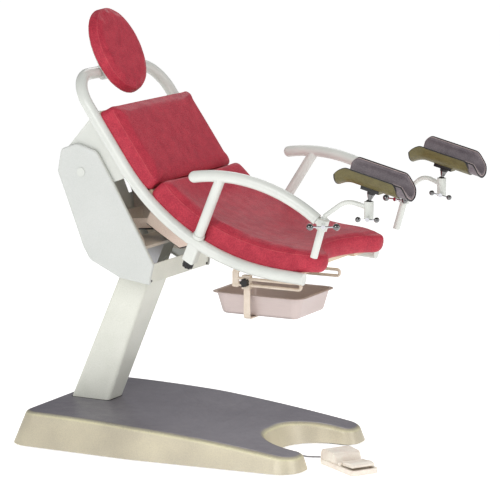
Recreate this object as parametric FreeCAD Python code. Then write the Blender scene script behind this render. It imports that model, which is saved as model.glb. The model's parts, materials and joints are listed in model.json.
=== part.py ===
import FreeCAD, Part
import math
import os

from FreeCAD import Vector

# Gynecological examination chair, millimetres.
# +X points to the foot end, +Y to the sitter's left, +Z up, the floor is Z = 0.
# The origin is on the floor under the middle of the base.

# Clearances
seat_gap = 0.3
fit_gap = 0.1

# Base: a moulded cover over a steel plate on four feet
base_length = 1120.0
base_rear_half = 372.0
base_front_half = 316.0
base_waist_x = -60.0
base_rear_height = 118.0
base_mid_height = 101.0
base_front_height = 52.0
base_draft = 44.0
base_wall = 6.0
base_top_round = 24.0
base_rear_corner = 80.0
base_tip_corner = 84.0
notch_half = 168.0
notch_depth = 215.0
notch_corner = 150.0
notch_mouth_round = 50.0
notch_draft_share = 0.4
skirt_gap = 4.0
foot_radius = 22.0
foot_x = 450.0
foot_y = 235.0
plate_thickness = 8.0
plate_inset = 16.0

inlet_y = 175.0
inlet_z = 50.0
inlet_width = 50.0
inlet_height = 32.0
inlet_depth = 26.0
socket_width = 26.0
socket_height = 18.0
socket_depth = 14.0

# Leaning column
column_lean = math.radians(23.4)
column_foot_x = -402.0
column_foot_z = 115.0
column_depth = 158.0
column_depth_taper = 0.070
column_width = 102.0
column_width_taper = 0.105
column_corner = 12.0
column_wall = 5.0
column_top_z = 625.0
seal_width = 3.0
seal_height = 5.0
inner_depth = 96.0
inner_width = 84.0
inner_wall = 4.0
inner_bottom_z = 150.0
inner_top_z = 715.0
guide_levels = ((350.0, 380.0), (590.0, 624.0))
ram_radius = 25.0
ram_top_z = 540.0
ram_rod_radius = 14.0
ram_rod_bottom_z = 320.0
ram_floor_z = 60.0

# Hood around the head of the column
pivot_x = -322.0
pivot_z = 978.0
hood_half = 225.0
hood_wall = 3.0
hood_rim = 11.0
hood_edge_round = 7.0
head_plate_inset = 37.0
head_plate_thickness = 8.0
swing_plate_thickness = 6.0
swing_plate_gap = 8.0
pivot_pin_radius = 12.0
head_top_rear = -216.0
head_top_length = 130.0
head_top_thickness = 10.0
tie_rear = -322.0
tie_thickness = 12.0
tie_below = 10.0
tie_height = 50.0
lug_inner = 14.0
lug_thickness = 8.0
pivot_cap_radius = 16.0
screw_radius = 4.5
screw_head = 1.8
screw_z = 608.0
screw_inset = 22.0
front_plate_low = Vector(-55.0, 0.0, 600.0)
front_plate_bend = Vector(-51.0, 0.0, 627.0)
front_plate_top = Vector(-42.0, 0.0, 670.0)
front_plate_wall = 3.0

# Seat frame: one bent tube, two rails and a head hoop
tube_radius = 21.0
tube_wall = 2.5
rail_half = 290.0
back_angle = math.radians(55.0)
front_angle = math.radians(4.0)
back_top_x = -234.0
back_top_z = 1200.0
front_end_x = 582.0
front_end_z = 683.0
rail_bend = 800.0
hoop_leg = 28.0
hoop_corner = 118.0
cross_tube_radius = 15.0
cross_tube_wall = 2.0
tilt_tube_places = (58.0, 228.0)
swing_plate_upper = 5.0
swing_plate_lower = 250.0
swing_plate_edge = 3.0

# Upholstery and its boards
pad_half = rail_half
back_pad_top = 8.0
back_pad_length = 342.0
back_pad_height = 77.0
seat_pad_height = 64.0
seat_pad_overhang = 56.0
seat_pad_notch = 180.0
seat_pad_notch_round = 285.0
seat_pad_corner = 100.0
seat_pad_tip = 40.0
seat_board_notch = 42.0
seat_board_notch_half = 150.0
board_rail_gap = 7.0
board_half = rail_half - tube_radius - board_rail_gap
board_bottom = 6.0

# Headrest, a round pad on the hoop
headrest_tilt = math.radians(65.0)
headrest_x = -276.0
headrest_z = 1401.0
headrest_length = 326.0
headrest_width = 288.0
headrest_pad_depth = 43.7
headrest_board_depth = 6.0
headrest_clamp_y = 55.0
headrest_clamp_length = 34.0
headrest_clamp_wall = 6.0

# Tilt drive between the seat and the head of the column
drive_eye_x = -290.0
drive_eye_z = 762.0
drive_pivot_x = 36.0
drive_pivot_z = 792.0
drive_pin_radius = 6.0
drive_eye_clearance = 5.0
drive_tube_radius = 21.0
drive_rod_radius = 11.0
drive_housing_half = 62.0

# Armrests: a post through each rail carries a curved tube
arm_radius = 20.0
arm_cross_x = 174.0
arm_post_share = 0.215
arm_rear = Vector(204.0, -357.0, 1014.0)
arm_middle = Vector(436.0, -352.0, 1006.0)
arm_front = Vector(655.0, -334.0, 898.0)
arm_post_radius = 18.0
arm_stud_radius = 9.0
arm_collar_wall = 3.0
arm_collar_height = 12.0
arm_collar_rise = 1.5
arm_post_room = 2.5
arm_socket_length = 58.0
arm_socket_width = 46.0
arm_knob_length = 26.0
arm_knob_radius = 19.0

# Leg supports
sides = {"right": -1, "left": 1}
leg_post_lean = math.radians(16.0)
leg_post_radius = 12.5
leg_post_top = 24.0
leg_post_tail = 118.0
leg_clamp_radius = 19.0
leg_clamp_height = 36.0
leg_boss_radius = 8.0
leg_boss_length = 6.0
leg_bush_wall = 2.0
leg_flange_radius = 16.5
leg_rod_radius = 8.0
leg_rod_crest = 34.0
leg_head_x = 828.0
leg_head_y = -300.0
leg_head_z = 962.0
leg_head_radius = 16.0
leg_head_low = 904.0
leg_head_thread = 8.0
leg_handle_reach = 32.0
leg_handle_span = 88.0
leg_handle_ball = 12.0
leg_handle_turns = {"right": math.radians(27.5), "left": math.radians(-17.5)}
handle_rod_radius = 3.5
crutch_handle_reach = 24.0
crutch_handle_span = 62.0
crutch_handle_ball = 9.3
crutch_handle_turns = {"right": math.radians(18.0), "left": math.radians(18.0)}
crutch_handle_rolls = {"right": 0.0, "left": math.radians(14.0)}

# Knee crutches: troughs with one side higher, each on a ball stud that leans with it
crutch_ball_radius = 12.0
crutch_stud_radius = 6.0
crutch_stud_length = 49.0
crutch_cone_low = 8.0
crutch_cone_high = 13.5
crutch_slope = math.radians(14.0)
crutch_radius = 58.0
crutch_wall = 4.0
crutch_rear = -117.0
crutch_front = 102.0
crutch_near_side = 84.0
crutch_far_side = 104.0
crutch_lip = 34.0
crutch_lip_drop = 20.0
crutch_pad_thickness = 15.0
crutch_pad_rear = -79.0
crutch_pad_rear_far = -112.0
crutch_pad_front = 144.0
saddle_length = 68.0
saddle_width = 40.0
saddle_thickness = 8.0
socket_length = 10.0
socket_radius = 14.0

# Bowl under the seat opening
bowl_x = 322.0
bowl_length = 360.0
bowl_width = 290.0
bowl_rim_z = 578.0
bowl_depth = 78.0
bowl_wall = 1.5
bowl_rim = 12.0
bowl_corner = 45.0
bowl_taper = 20.0
hanger_x = 298.0
hairpin_radius = 5.5
hairpin_front = 506.0
hairpin_z = 627.0
hairpin_half_height = 11.0
strap_width = 24.0
strap_thickness = 4.0

# Foot switch on the floor in front of the base
switch_x = 672.0
switch_y = -111.0
switch_turn = 147.6
switch_length = 215.0
switch_width = 108.0
switch_hump = 58.0
pedal_length = 96.0
cable_radius = 3.0
coil_x = 432.0
coil_y = -95.0
coil_inner = 20.5
coil_outer = 45.5
coil_height = 12.4
gland_radius = 5.0
gland_z = 13.0
gland_neck = 14.5
gland_flange = 1.2
gland_length = 38.0
switch_gland = 22.0
switch_gland_z = 12.0

base_rear = -base_length / 2
base_front = base_length / 2
cross_tube_offset = board_bottom - seat_gap - cross_tube_radius


def export(name, shape):
    """Write one named piece, with its solids checked."""
    solids = shape.Solids
    if not solids or not shape.isValid():
        raise ValueError("bad shape: " + name)
    if len(solids) == 1:
        shape = solids[0]
    shape.exportStep("parts/" + name + ".step")
    print(name, len(solids), round(shape.Volume / 1000, 1), "cm3")


def mirrored(shape):
    return shape.mirror(Vector(0, 0, 0), Vector(0, 1, 0))


def both(shape):
    return Part.makeCompound([shape, mirrored(shape)])


def rounded_wire(points, closed=True):
    """Lines joined by tangent arcs; each point is (Vector, radius)."""
    count = len(points)
    edges = []
    first = None
    last = None
    for i, (point, radius) in enumerate(points):
        if not closed and i in (0, count - 1):
            start, end = point, point
        else:
            before = points[i - 1][0]
            after = points[(i + 1) % count][0]
            to_before = (before - point).normalize()
            to_after = (after - point).normalize()
            half = to_before.getAngle(to_after) / 2
            reach = radius / math.tan(half) if radius > 0 else 0
            start = point + to_before * reach
            end = point + to_after * reach
        if last is None:
            first = start
        elif (start - last).Length > 1e-6:
            edges.append(Part.makeLine(last, start))
        if (end - start).Length > 1e-6:
            inward = (to_before + to_after).normalize()
            middle = point + inward * (radius / math.sin(half) - radius)
            edges.append(Part.Arc(start, middle, end).toShape())
        last = end
    if closed and (last - first).Length > 1e-6:
        edges.append(Part.makeLine(last, first))
    return Part.Wire(edges)


def side_profile(points, y_low, y_high):
    """Extrude an outline given as (x, z, radius) between two Y planes."""
    wire = rounded_wire([(Vector(x, y_low, z), r) for x, z, r in points])
    return Part.Face(wire).extrude(Vector(0, y_high - y_low, 0))


def plan_profile(points, z_low, z_high):
    """Extrude an outline given as (x, y, radius) between two heights."""
    wire = rounded_wire([(Vector(x, y, z_low), r) for x, y, r in points])
    return Part.Face(wire).extrude(Vector(0, 0, z_high - z_low))


def sweep(path, radius):
    """Sweep a round section along a wire of lines and tangent arcs."""
    start = path.OrderedEdges[0]
    origin = path.OrderedVertexes[0].Point
    tangent = start.tangentAt(start.FirstParameter)
    if (start.valueAt(start.FirstParameter) - origin).Length > 1e-4:
        tangent = start.tangentAt(start.LastParameter) * -1
    ring = Part.Wire(Part.makeCircle(radius, origin, tangent))
    return path.makePipeShell([ring], True, False)


def hollow(path, radius, wall):
    return sweep(path, radius).cut(sweep(path, radius - wall))


def rod(start, end, radius):
    return Part.makeCylinder(radius, (end - start).Length, start, end - start)


def tapered_rod(start, end, radius_start, radius_end):
    return Part.makeCone(radius_start, radius_end, (end - start).Length, start, end - start)


def fuse(shapes):
    return shapes[0].multiFuse(shapes[1:]).removeSplitter()


# Base

def base_outline(inset, z):
    """Plan outline of the base, drawn in by an inset, with the foot notch."""
    side = base_rear_half - inset
    front = base_front_half - inset
    notch = notch_half + inset * notch_draft_share
    back_of_notch = base_front - notch_depth - inset
    half = [
        (base_rear + inset, -side, base_rear_corner - inset * 0.5),
        (base_waist_x, -side, 900.0),
        (base_front - inset, -front, base_tip_corner - inset * 0.9),
        (base_front - inset, -notch, notch_mouth_round - inset * 0.5),
        (back_of_notch, -notch, notch_corner),
    ]
    points = half + [(x, -y, r) for x, y, r in reversed(half)]
    return rounded_wire([(Vector(x, y, z), r) for x, y, r in points])


def base_form(inset, z_low, drop, top_round):
    """Drafted block under a top that falls towards the foot end."""
    top = base_rear_height + 12
    block = Part.makeLoft([base_outline(inset, z_low), base_outline(inset + base_draft, top)], True, True)
    reach = base_length
    rear = Vector(base_rear - 60, -reach, base_rear_height - drop)
    middle = Vector(100, -reach, base_mid_height - drop)
    front = Vector(base_front + 60, -reach, base_front_height - 8 - drop)
    low_front = Vector(front.x, -reach, -50)
    low_rear = Vector(rear.x, -reach, -50)
    edges = [Part.Arc(rear, middle, front).toShape()]
    edges.append(Part.makeLine(front, low_front))
    edges.append(Part.makeLine(low_front, low_rear))
    edges.append(Part.makeLine(low_rear, rear))
    slab = Part.Face(Part.Wire(edges)).extrude(Vector(0, 2 * reach, 0))
    body = block.common(slab).Solids[0]
    top_face = max(body.Faces, key=lambda face: face.CenterOfMass.z)
    return body.makeFillet(top_round, top_face.Edges)


def column_center(z):
    return column_foot_x + (z - column_foot_z) * math.tan(column_lean)


def column_section(z, grow):
    """Level section of the column, larger by grow on each side."""
    rise = z - column_foot_z
    half_x = (column_depth - rise * column_depth_taper) / 2 + grow
    half_y = (column_width + rise * column_width_taper) / 2 + grow
    x = column_center(z)
    radius = column_corner + grow
    corners = [(x - half_x, -half_y), (x + half_x, -half_y), (x + half_x, half_y), (x - half_x, half_y)]
    return rounded_wire([(Vector(cx, cy, z), radius) for cx, cy in corners])


def column_form(z_low, z_high, grow):
    return Part.makeLoft([column_section(z_low, grow), column_section(z_high, grow)], True, True)


def inner_form(z_low, z_high, half_x, half_y):
    """Straight leaning bar with level ends."""
    def ring(z):
        x = column_center(z)
        points = [(x - half_x, -half_y), (x + half_x, -half_y), (x + half_x, half_y), (x - half_x, half_y)]
        return Part.makePolygon([Vector(px, py, z) for px, py in points + points[:1]])
    return Part.makeLoft([ring(z_low), ring(z_high)], True, True)


def column_axis(z):
    return Vector(column_center(z), 0, z)


inner_half_x = inner_depth / 2 / math.cos(column_lean)
inner_half_y = inner_width / 2


def make_base():
    cover = base_form(0, skirt_gap, 0, base_top_round)
    cavity = base_form(base_wall, skirt_gap - 1, base_wall, base_top_round - base_wall)
    cover = cover.cut(cavity)
    slot = column_form(60, 160, seal_width)
    cover = cover.cut(slot)
    inlet_low = Vector(base_rear + 9, inlet_y - inlet_width / 2, inlet_z - inlet_height / 2)
    inlet_hole = Part.makeBox(inlet_depth + 20, inlet_width, inlet_height, inlet_low - Vector(20, 0, 0))
    cover = cover.cut(inlet_hole)
    gland_hole = rod(gland_seat, gland_seat + gland_dir * 60, gland_radius + fit_gap)
    cover = cover.cut(gland_hole)
    export("base_cover", cover)

    plate = Part.Face(base_outline(plate_inset, 0)).extrude(Vector(0, 0, plate_thickness))
    feet = []
    for x in (-foot_x, foot_x):
        for y in (-foot_y, foot_y):
            place = Vector(x, y, 0)
            plate = plate.cut(Part.makeCylinder(foot_radius + seat_gap, plate_thickness, place))
            feet.append(Part.makeCylinder(foot_radius, plate_thickness - 1, place))
    export("base_plate", plate)
    export("levelling_feet", Part.makeCompound(feet))

    seal_low = base_rear_height - base_wall
    ring = column_form(seal_low, seal_low + seal_height + 4, seal_width - fit_gap)
    ring = ring.cut(column_form(seal_low - 1, seal_low + seal_height + 6, fit_gap))
    export("column_seal", ring)

    inset = Vector(0, fit_gap, fit_gap)
    inlet = Part.makeBox(inlet_depth, inlet_width - 2 * fit_gap, inlet_height - 2 * fit_gap, inlet_low + inset)
    socket = Part.makeBox(socket_depth, socket_width, socket_height,
                          Vector(inlet_low.x, inlet_y - socket_width / 2, inlet_z - socket_height / 2))
    export("mains_inlet", inlet.cut(socket))


gland_dir = Vector(1, 0, 0)
gland_seat = Vector(base_front - notch_depth - 11, coil_y + coil_outer - 2, gland_z)


def make_column():
    outer = column_form(plate_thickness, column_top_z, 0)
    bore = column_form(plate_thickness - 1, column_top_z + 1, -column_wall)
    export("column_outer", outer.cut(bore))

    guides = []
    for low, high in guide_levels:
        block = column_form(low, high, -column_wall - fit_gap)
        hole = inner_form(low - 5, high + 5, inner_half_x + fit_gap, inner_half_y + fit_gap)
        guides.append(block.cut(hole))
    export("column_guides", Part.makeCompound(guides))

    inner = inner_form(inner_bottom_z, inner_top_z, inner_half_x, inner_half_y)
    room = inner_form(inner_bottom_z - 1, inner_top_z - 8, inner_half_x - inner_wall, inner_half_y - inner_wall)
    export("column_inner", inner.cut(room))

    along = (column_axis(ram_top_z) - column_axis(plate_thickness)).normalize()
    foot = column_axis(plate_thickness) + along * (ram_radius * math.tan(column_lean) + 1)
    ram = rod(foot, column_axis(ram_top_z), ram_radius)
    ram = ram.cut(rod(column_axis(ram_floor_z), column_axis(ram_top_z + 20), ram_rod_radius + fit_gap))
    pedestal = Part.makeBox(90, 60, 24, Vector(foot.x - 50, -30, plate_thickness))
    pedestal = pedestal.cut(rod(foot, column_axis(ram_top_z), ram_radius - 1))
    export("lift_ram", fuse([ram, pedestal]))
    top = column_axis(inner_top_z - 8) - along * (ram_rod_radius * math.tan(column_lean) + seat_gap)
    export("lift_rod", rod(column_axis(ram_rod_bottom_z), top, ram_rod_radius))


# Hood and head frame

hood_points = [
    (-421, 975, 14), (-406, 1056, 22), (-340, 1080, 40), (-259, 1056, 40), (-187, 939, 0),
    (-34, 671, 12), (-46, 627, 20), (-50, 596, 8), (-173, 613, 0), (-292, 668, 40), (-319, 712, 40), (-366, 836, 0),
]
head_plate_inner = hood_half - head_plate_inset
head_plate_outer = head_plate_inner + head_plate_thickness
swing_inner = head_plate_outer + swing_plate_gap
swing_outer = swing_inner + swing_plate_thickness


def hood_panel():
    """Right-hand side cover: a shallow tray with its rim turned inwards."""
    panel = side_profile(hood_points, -hood_half, -hood_half + hood_rim)
    outside = [edge for edge in panel.Edges if abs(edge.CenterOfMass.y + hood_half) < 0.1]
    panel = panel.makeFillet(hood_edge_round, outside)
    inset = hood_wall
    face = Part.Face(rounded_wire([(Vector(x, -hood_half + hood_wall, z), r) for x, z, r in hood_points]))
    pocket_wire = face.OuterWire.makeOffset2D(-inset)
    pocket = Part.Face(pocket_wire).extrude(Vector(0, hood_rim, 0))
    panel = panel.cut(pocket)
    boss = rod(Vector(pivot_x, -hood_half + 1, pivot_z), Vector(pivot_x, -swing_outer - seat_gap, pivot_z), 20)
    panel = fuse([panel, boss])
    bore = rod(Vector(pivot_x, -hood_half - 5, pivot_z), Vector(pivot_x, -swing_outer + 5, pivot_z),
               pivot_pin_radius + fit_gap)
    return panel.cut(bore)


head_plate_points = [
    (-230, 655, 20), (-92, 655, 14), (-86, 745, 40), (-250, 1010, 0), (-322, 1030, 40),
    (-374, 990, 40), (-345, 790, 60), (-318, 735, 20),
]


def drive_line():
    start = Vector(drive_eye_x, 0, drive_eye_z)
    end = Vector(drive_pivot_x, 0, drive_pivot_z)
    return start, end, (end - start).normalize()


def make_head():
    side = side_profile(head_plate_points, -head_plate_outer, -head_plate_inner)
    bore = rod(Vector(pivot_x, -300, pivot_z), Vector(pivot_x, -100, pivot_z), pivot_pin_radius + fit_gap)
    side = side.cut(bore)
    top = Part.makeBox(head_top_length, 2 * head_plate_inner, head_top_thickness,
                       Vector(head_top_rear, -head_plate_inner, inner_top_z + seat_gap))
    eye, _, _ = drive_line()
    tie = Part.makeBox(tie_thickness, 2 * head_plate_inner, tie_height,
                       Vector(tie_rear, -head_plate_inner, eye.z - tie_below))
    lugs = []
    lug_root = tie_rear + tie_thickness / 2
    lug_points = [(lug_root, eye.z - 8, 2), (eye.x + 14, eye.z - 14, 6), (eye.x + 12, eye.z + 14, 10),
                  (eye.x - 12, eye.z + 16, 10), (lug_root, eye.z + 20, 2)]
    lug_outer = lug_inner + lug_thickness
    for y in (-lug_outer, lug_inner):
        lugs.append(side_profile(lug_points, y, y + lug_thickness))
    pin = rod(Vector(eye.x, -lug_outer, eye.z), Vector(eye.x, lug_outer, eye.z), drive_pin_radius)
    frame = fuse([side, mirrored(side), top, tie] + lugs + [pin])
    export("head_frame", frame)

    right = hood_panel()
    export("hood_cover_right", right)
    export("hood_cover_left", mirrored(right))

    front_half = hood_half - hood_rim - seat_gap
    wall = front_plate_wall
    low, bend, high = front_plate_low, front_plate_bend, front_plate_top
    outer = [(high.x, high.z, 0), (bend.x, bend.z, 16), (low.x, low.z, 0), (low.x - 63, low.z + 9, 0),
             (low.x - 62, low.z + 9 + wall, 0), (low.x - wall, low.z + 4, 0), (bend.x - wall, bend.z, 13),
             (high.x - wall, high.z, 0)]
    front = side_profile(outer, -front_half, front_half)
    export("hood_front_plate", front)
    rear = [(-296, 676, 30), (-322, 716, 40), (-368, 838, 0), (-412, 940, 0),
            (-409, 941, 0), (-365, 839, 0), (-319, 717, 37), (-294, 679, 27), (-270, 668, 0), (-271, 665, 0)]
    panel = side_profile(rear, -front_half, front_half)
    slots = Part.makeBox(200, 26, 200, Vector(-500, -swing_outer - 6, 846))
    panel = panel.cut(slots).cut(mirrored(slots))
    keep = Part.makeBox(400, 2 * (swing_outer - 14), 400, Vector(-600, -swing_outer + 14, 600))
    low = Part.makeBox(600, 2 * hood_half, 400, Vector(-700, -hood_half, 446))
    export("hood_rear_cover", panel.common(fuse([keep, low])))

    pin = rod(Vector(pivot_x, -hood_half + 1, pivot_z), Vector(pivot_x, -head_plate_inner + 14, pivot_z), pivot_pin_radius)
    flange = rod(Vector(pivot_x, -head_plate_inner + 0.2, pivot_z), Vector(pivot_x, -head_plate_inner + 6, pivot_z), 18)
    export("pivot_pins", both(fuse([pin, flange])))

    cap = rod(Vector(pivot_x, -hood_half - 2.5, pivot_z), Vector(pivot_x, -hood_half, pivot_z), pivot_cap_radius)
    export("pivot_caps", both(cap))

    slant = (front_plate_bend - front_plate_low).normalize()
    face = front_plate_low + slant * ((screw_z - front_plate_low.z) / slant.z)
    outwards = Vector(slant.z, 0, -slant.x)
    place = Vector(face.x, -hood_half + screw_inset, face.z)
    head = rod(place, place + outwards * screw_head, screw_radius)
    slot = rod(place + outwards * screw_head - slant * 10, place + outwards * screw_head + slant * 10, 0.6)
    export("cover_fasteners", both(head.cut(slot)))


# Seat frame

def rail_nodes():
    """Ends of the rail and the point where its straight lines meet."""
    top = Vector(back_top_x, 0, back_top_z)
    front = Vector(front_end_x, 0, front_end_z)
    down = Vector(math.cos(back_angle), 0, -math.sin(back_angle))
    back = Vector(-math.cos(front_angle), 0, math.sin(front_angle))
    across = down.x * back.z - down.z * back.x
    gap = front - top
    run = (gap.x * back.z - gap.z * back.x) / across
    return top, top + down * run, front


rail_top, rail_corner, rail_front = rail_nodes()
back_down = (rail_corner - rail_top).normalize()
front_out = (rail_front - rail_corner).normalize()
back_normal = Vector(-back_down.z, 0, back_down.x)
front_normal = Vector(-front_out.z, 0, front_out.x)


def rail_curve(offset, y=0.0):
    """Rail line moved by an offset towards the sitter; corner and ends."""
    half_turn = (back_angle - front_angle) / 2
    corner = rail_corner + (back_normal + front_normal).normalize() * (offset / math.cos(half_turn))
    top = rail_top + back_normal * offset
    front = rail_front + front_normal * offset
    shift = Vector(0, y, 0)
    return top + shift, corner + shift, front + shift, rail_bend - offset


def rail_path(offset, y, start_extra=0.0, end_extra=0.0):
    top, corner, front, radius = rail_curve(offset, y)
    top = top - back_down * start_extra
    front = front + front_out * end_extra
    return rounded_wire([(top, 0), (corner, radius), (front, 0)], closed=False)


def rail_band(low, high, y_low, y_high, start, end_extra):
    """Slab that follows the rails between two offsets, from a distance along the back."""
    inner = rail_path(low, y_low, -start, end_extra)
    outer = rail_path(high, y_low, -start, end_extra)
    a, b = inner.OrderedVertexes[0].Point, outer.OrderedVertexes[0].Point
    c, d = inner.OrderedVertexes[-1].Point, outer.OrderedVertexes[-1].Point
    edges = inner.Edges + [Part.makeLine(c, d)] + outer.Edges + [Part.makeLine(b, a)]
    wire = Part.Wire(Part.__sortEdges__(edges))
    return Part.Face(wire).extrude(Vector(0, y_high - y_low, 0))


def on_back(distance, offset, y=0.0):
    """Point a distance down the straight back, at an offset from the rail line."""
    return rail_top + back_down * distance + back_normal * offset + Vector(0, y, 0)


def arm_line():
    return Part.Arc(arm_rear, arm_middle, arm_front).toShape()


def arm_post_top():
    """Point on the middle of the arm's tube that its post reaches."""
    line = arm_line()
    return line.valueAt(line.FirstParameter + (line.LastParameter - line.FirstParameter) * arm_post_share)


def arm_axis():
    """Where each arm post crosses its rail, and the way it leans."""
    point = Vector(arm_cross_x, -rail_half, rail_height(arm_cross_x, 0))
    return point, (arm_post_top() - point).normalize()


def make_seat_frame():
    right = hollow(rail_path(0, -rail_half), tube_radius, tube_wall)
    point, lean = arm_axis()
    right = right.cut(rod(point - lean * 40, point + lean * 40, arm_stud_radius + fit_gap))
    export("rail_right", right)
    export("rail_left", mirrored(right))

    rise = hoop_leg + hoop_corner
    start = rail_top + Vector(0, -rail_half, 0)
    crown = start - back_down * rise
    far_crown = Vector(crown.x, rail_half, crown.z)
    end = Vector(start.x, rail_half, start.z)
    path = rounded_wire([(start, 0), (crown, hoop_corner), (far_crown, hoop_corner), (end, 0)], closed=False)
    export("head_hoop", hollow(path, tube_radius, tube_wall))

    plug = rod(rail_front + Vector(0, -rail_half, 0) - front_out * 14, rail_front + Vector(0, -rail_half, 0),
               tube_radius - tube_wall - fit_gap)
    cap = rod(rail_front + Vector(0, -rail_half, 0), rail_front + Vector(0, -rail_half, 0) + front_out * 4, tube_radius)
    cap = cap.makeFillet(2.5, [cap.Edges[0] if cap.Edges[0].CenterOfMass.x > cap.Edges[-1].CenterOfMass.x
                               else cap.Edges[-1]])
    export("rail_end_caps", both(fuse([plug, cap])))


def swing_outline():
    """Outline of a swing plate, with its long edge close under the back board."""
    upper = on_back(swing_plate_upper, swing_plate_edge)
    lower = on_back(swing_plate_lower, swing_plate_edge)
    return [(-424, 1016, 30), (-268, 1196, 10), (upper.x, upper.z, 4), (lower.x, lower.z, 8), (-150, 968, 40),
            (-205, 946, 60), (-285, 925, 60), (-340, 918, 60), (-398, 950, 50)]


def make_tilt_frame():
    """Swing plates on the pivot pins, joined by cross tubes to the rails."""
    plate = side_profile(swing_outline(), -swing_outer, -swing_inner)
    plate = plate.cut(rod(Vector(pivot_x, -300, pivot_z), Vector(pivot_x, -100, pivot_z),
                          pivot_pin_radius + fit_gap))
    reach = rail_half - tube_radius - seat_gap
    tubes = []
    for distance in tilt_tube_places:
        center = on_back(distance, cross_tube_offset)
        bar = rod(Vector(center.x, -reach, center.z), Vector(center.x, reach, center.z), cross_tube_radius)
        tubes.append(bar)
    frame = fuse([plate, mirrored(plate)] + tubes)
    for distance in tilt_tube_places:
        center = on_back(distance, cross_tube_offset)
        bore = rod(Vector(center.x, -reach - 5, center.z), Vector(center.x, reach + 5, center.z),
                   cross_tube_radius - cross_tube_wall)
        frame = frame.cut(bore)
    export("tilt_frame", frame)

    z = rail_height(hanger_x, cross_tube_offset)
    front = rod(Vector(hanger_x, -reach, z), Vector(hanger_x, reach, z), cross_tube_radius)
    front = front.cut(rod(Vector(hanger_x, -reach - 5, z), Vector(hanger_x, reach + 5, z),
                          cross_tube_radius - cross_tube_wall))
    middle_x = drive_pivot_x + 2
    z = rail_height(middle_x, cross_tube_offset)
    middle = rod(Vector(middle_x, -reach, z), Vector(middle_x, reach, z), cross_tube_radius)
    lugs = []
    lug_points = [(middle_x - 20, z, 0), (drive_pivot_x - 16, drive_pivot_z - 6, 10), (drive_pivot_x, drive_pivot_z - 17, 12),
                  (drive_pivot_x + 16, drive_pivot_z - 6, 10), (middle_x + 20, z, 0)]
    for y in (-(drive_housing_half + 10), drive_housing_half + 2):
        lugs.append(side_profile(lug_points, y, y + 8))
    pin_reach = drive_housing_half + 12
    bridge = fuse([middle] + lugs)
    bridge = bridge.cut(rod(Vector(drive_pivot_x, -pin_reach - 5, drive_pivot_z),
                            Vector(drive_pivot_x, pin_reach + 5, drive_pivot_z), drive_pin_radius + 2 + fit_gap))
    bridge = bridge.cut(rod(Vector(middle_x, -reach - 5, z), Vector(middle_x, reach + 5, z),
                            cross_tube_radius - cross_tube_wall))
    export("seat_cross_tubes", Part.makeCompound([front, bridge]))


def rail_height(x, offset):
    """Height, at a distance along X, of the line that follows the rails at an offset."""
    plane = Part.makeBox(0.02, 4, 3000, Vector(x, -rail_half - 2, 0))
    cross = rail_path(offset, -rail_half).common(plane).BoundBox
    return (cross.ZMin + cross.ZMax) / 2


def make_upholstery():
    board = rail_band(board_bottom, tube_radius, -board_half, board_half, 0, -20)
    board = board.cut(beyond(on_back(back_pad_length - 10, 0), -back_down))
    trim = Part.makeBox(400, 2 * seat_board_notch_half, 400,
                        Vector(front_end_x - seat_board_notch, -seat_board_notch_half, 600))
    export("seat_board", board.cut(trim))
    straight = rail_band(board_bottom, tube_radius, -board_half, board_half, back_pad_top, 0)
    export("back_board", straight.cut(beyond(on_back(back_pad_length - 24, 0), back_down)))

    low = tube_radius + seat_gap
    seat = rail_band(low, low + seat_pad_height, -pad_half, pad_half, 0, seat_pad_overhang)
    seat = seat.cut(beyond(on_back(back_pad_length + 4, 0), -back_down))
    tip = front_end_x + seat_pad_overhang
    half = [(-400, -pad_half - 5, 0), (tip - 0.55 * seat_pad_corner, -pad_half, seat_pad_corner),
            (tip + 0.4 * seat_pad_tip, -pad_half + 0.62 * seat_pad_corner, seat_pad_tip)]
    middle = [(tip - seat_pad_notch, 0, seat_pad_notch_round)]
    plan = plan_profile(half + middle + [(x, -y, r) for x, y, r in reversed(half)], 500, 1400)
    point, lean = arm_axis()
    groove = rod(point, point + lean * 200, arm_post_radius + arm_collar_wall + arm_post_room)
    export("seat_pad", seat.common(plan).cut(groove).cut(mirrored(groove)))

    block = rail_band(low, low + 200, -pad_half, pad_half, back_pad_top, 0)
    block = block.cut(beyond(on_back(0, back_pad_height), back_normal))
    export("back_pad", block.cut(beyond(on_back(back_pad_length, 0), back_down)))


def beyond(point, normal):
    """Large block on the far side of a plane square to the side view."""
    block = Part.makeBox(2000, 1200, 2000)
    block.Placement = plane_across(point, normal, 600)
    return block


def plane_across(point, normal, half_y):
    """Placement that puts a box beyond a plane, with its X axis along the normal."""
    angle = math.degrees(math.atan2(-normal.z, normal.x))
    turn = FreeCAD.Rotation(Vector(0, 1, 0), angle)
    side = turn.multVec(Vector(0, 0, -1000))
    return FreeCAD.Placement(point + side + Vector(0, -half_y, 0), turn)


# Headrest

headrest_normal = Vector(math.sin(headrest_tilt), 0, math.cos(headrest_tilt))
headrest_down = Vector(math.cos(headrest_tilt), 0, -math.sin(headrest_tilt))
headrest_center = Vector(headrest_x, 0, headrest_z)
crossbar = rail_top - back_down * (hoop_leg + hoop_corner)


def headrest_disc(depth_front, depth_back, shrink):
    """Oval slab behind the face of the headrest."""
    start = headrest_center - headrest_normal * depth_front
    turn = FreeCAD.Rotation(headrest_down, Vector(0, 1, 0), headrest_normal, "XZY")
    oval = Part.Ellipse(Vector(0, 0, 0), headrest_length / 2 - shrink, headrest_width / 2 - shrink).toShape()
    oval.Placement = FreeCAD.Placement(start, turn)
    return Part.Face(Part.Wire(oval)).extrude(headrest_normal * (depth_front - depth_back))


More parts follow.
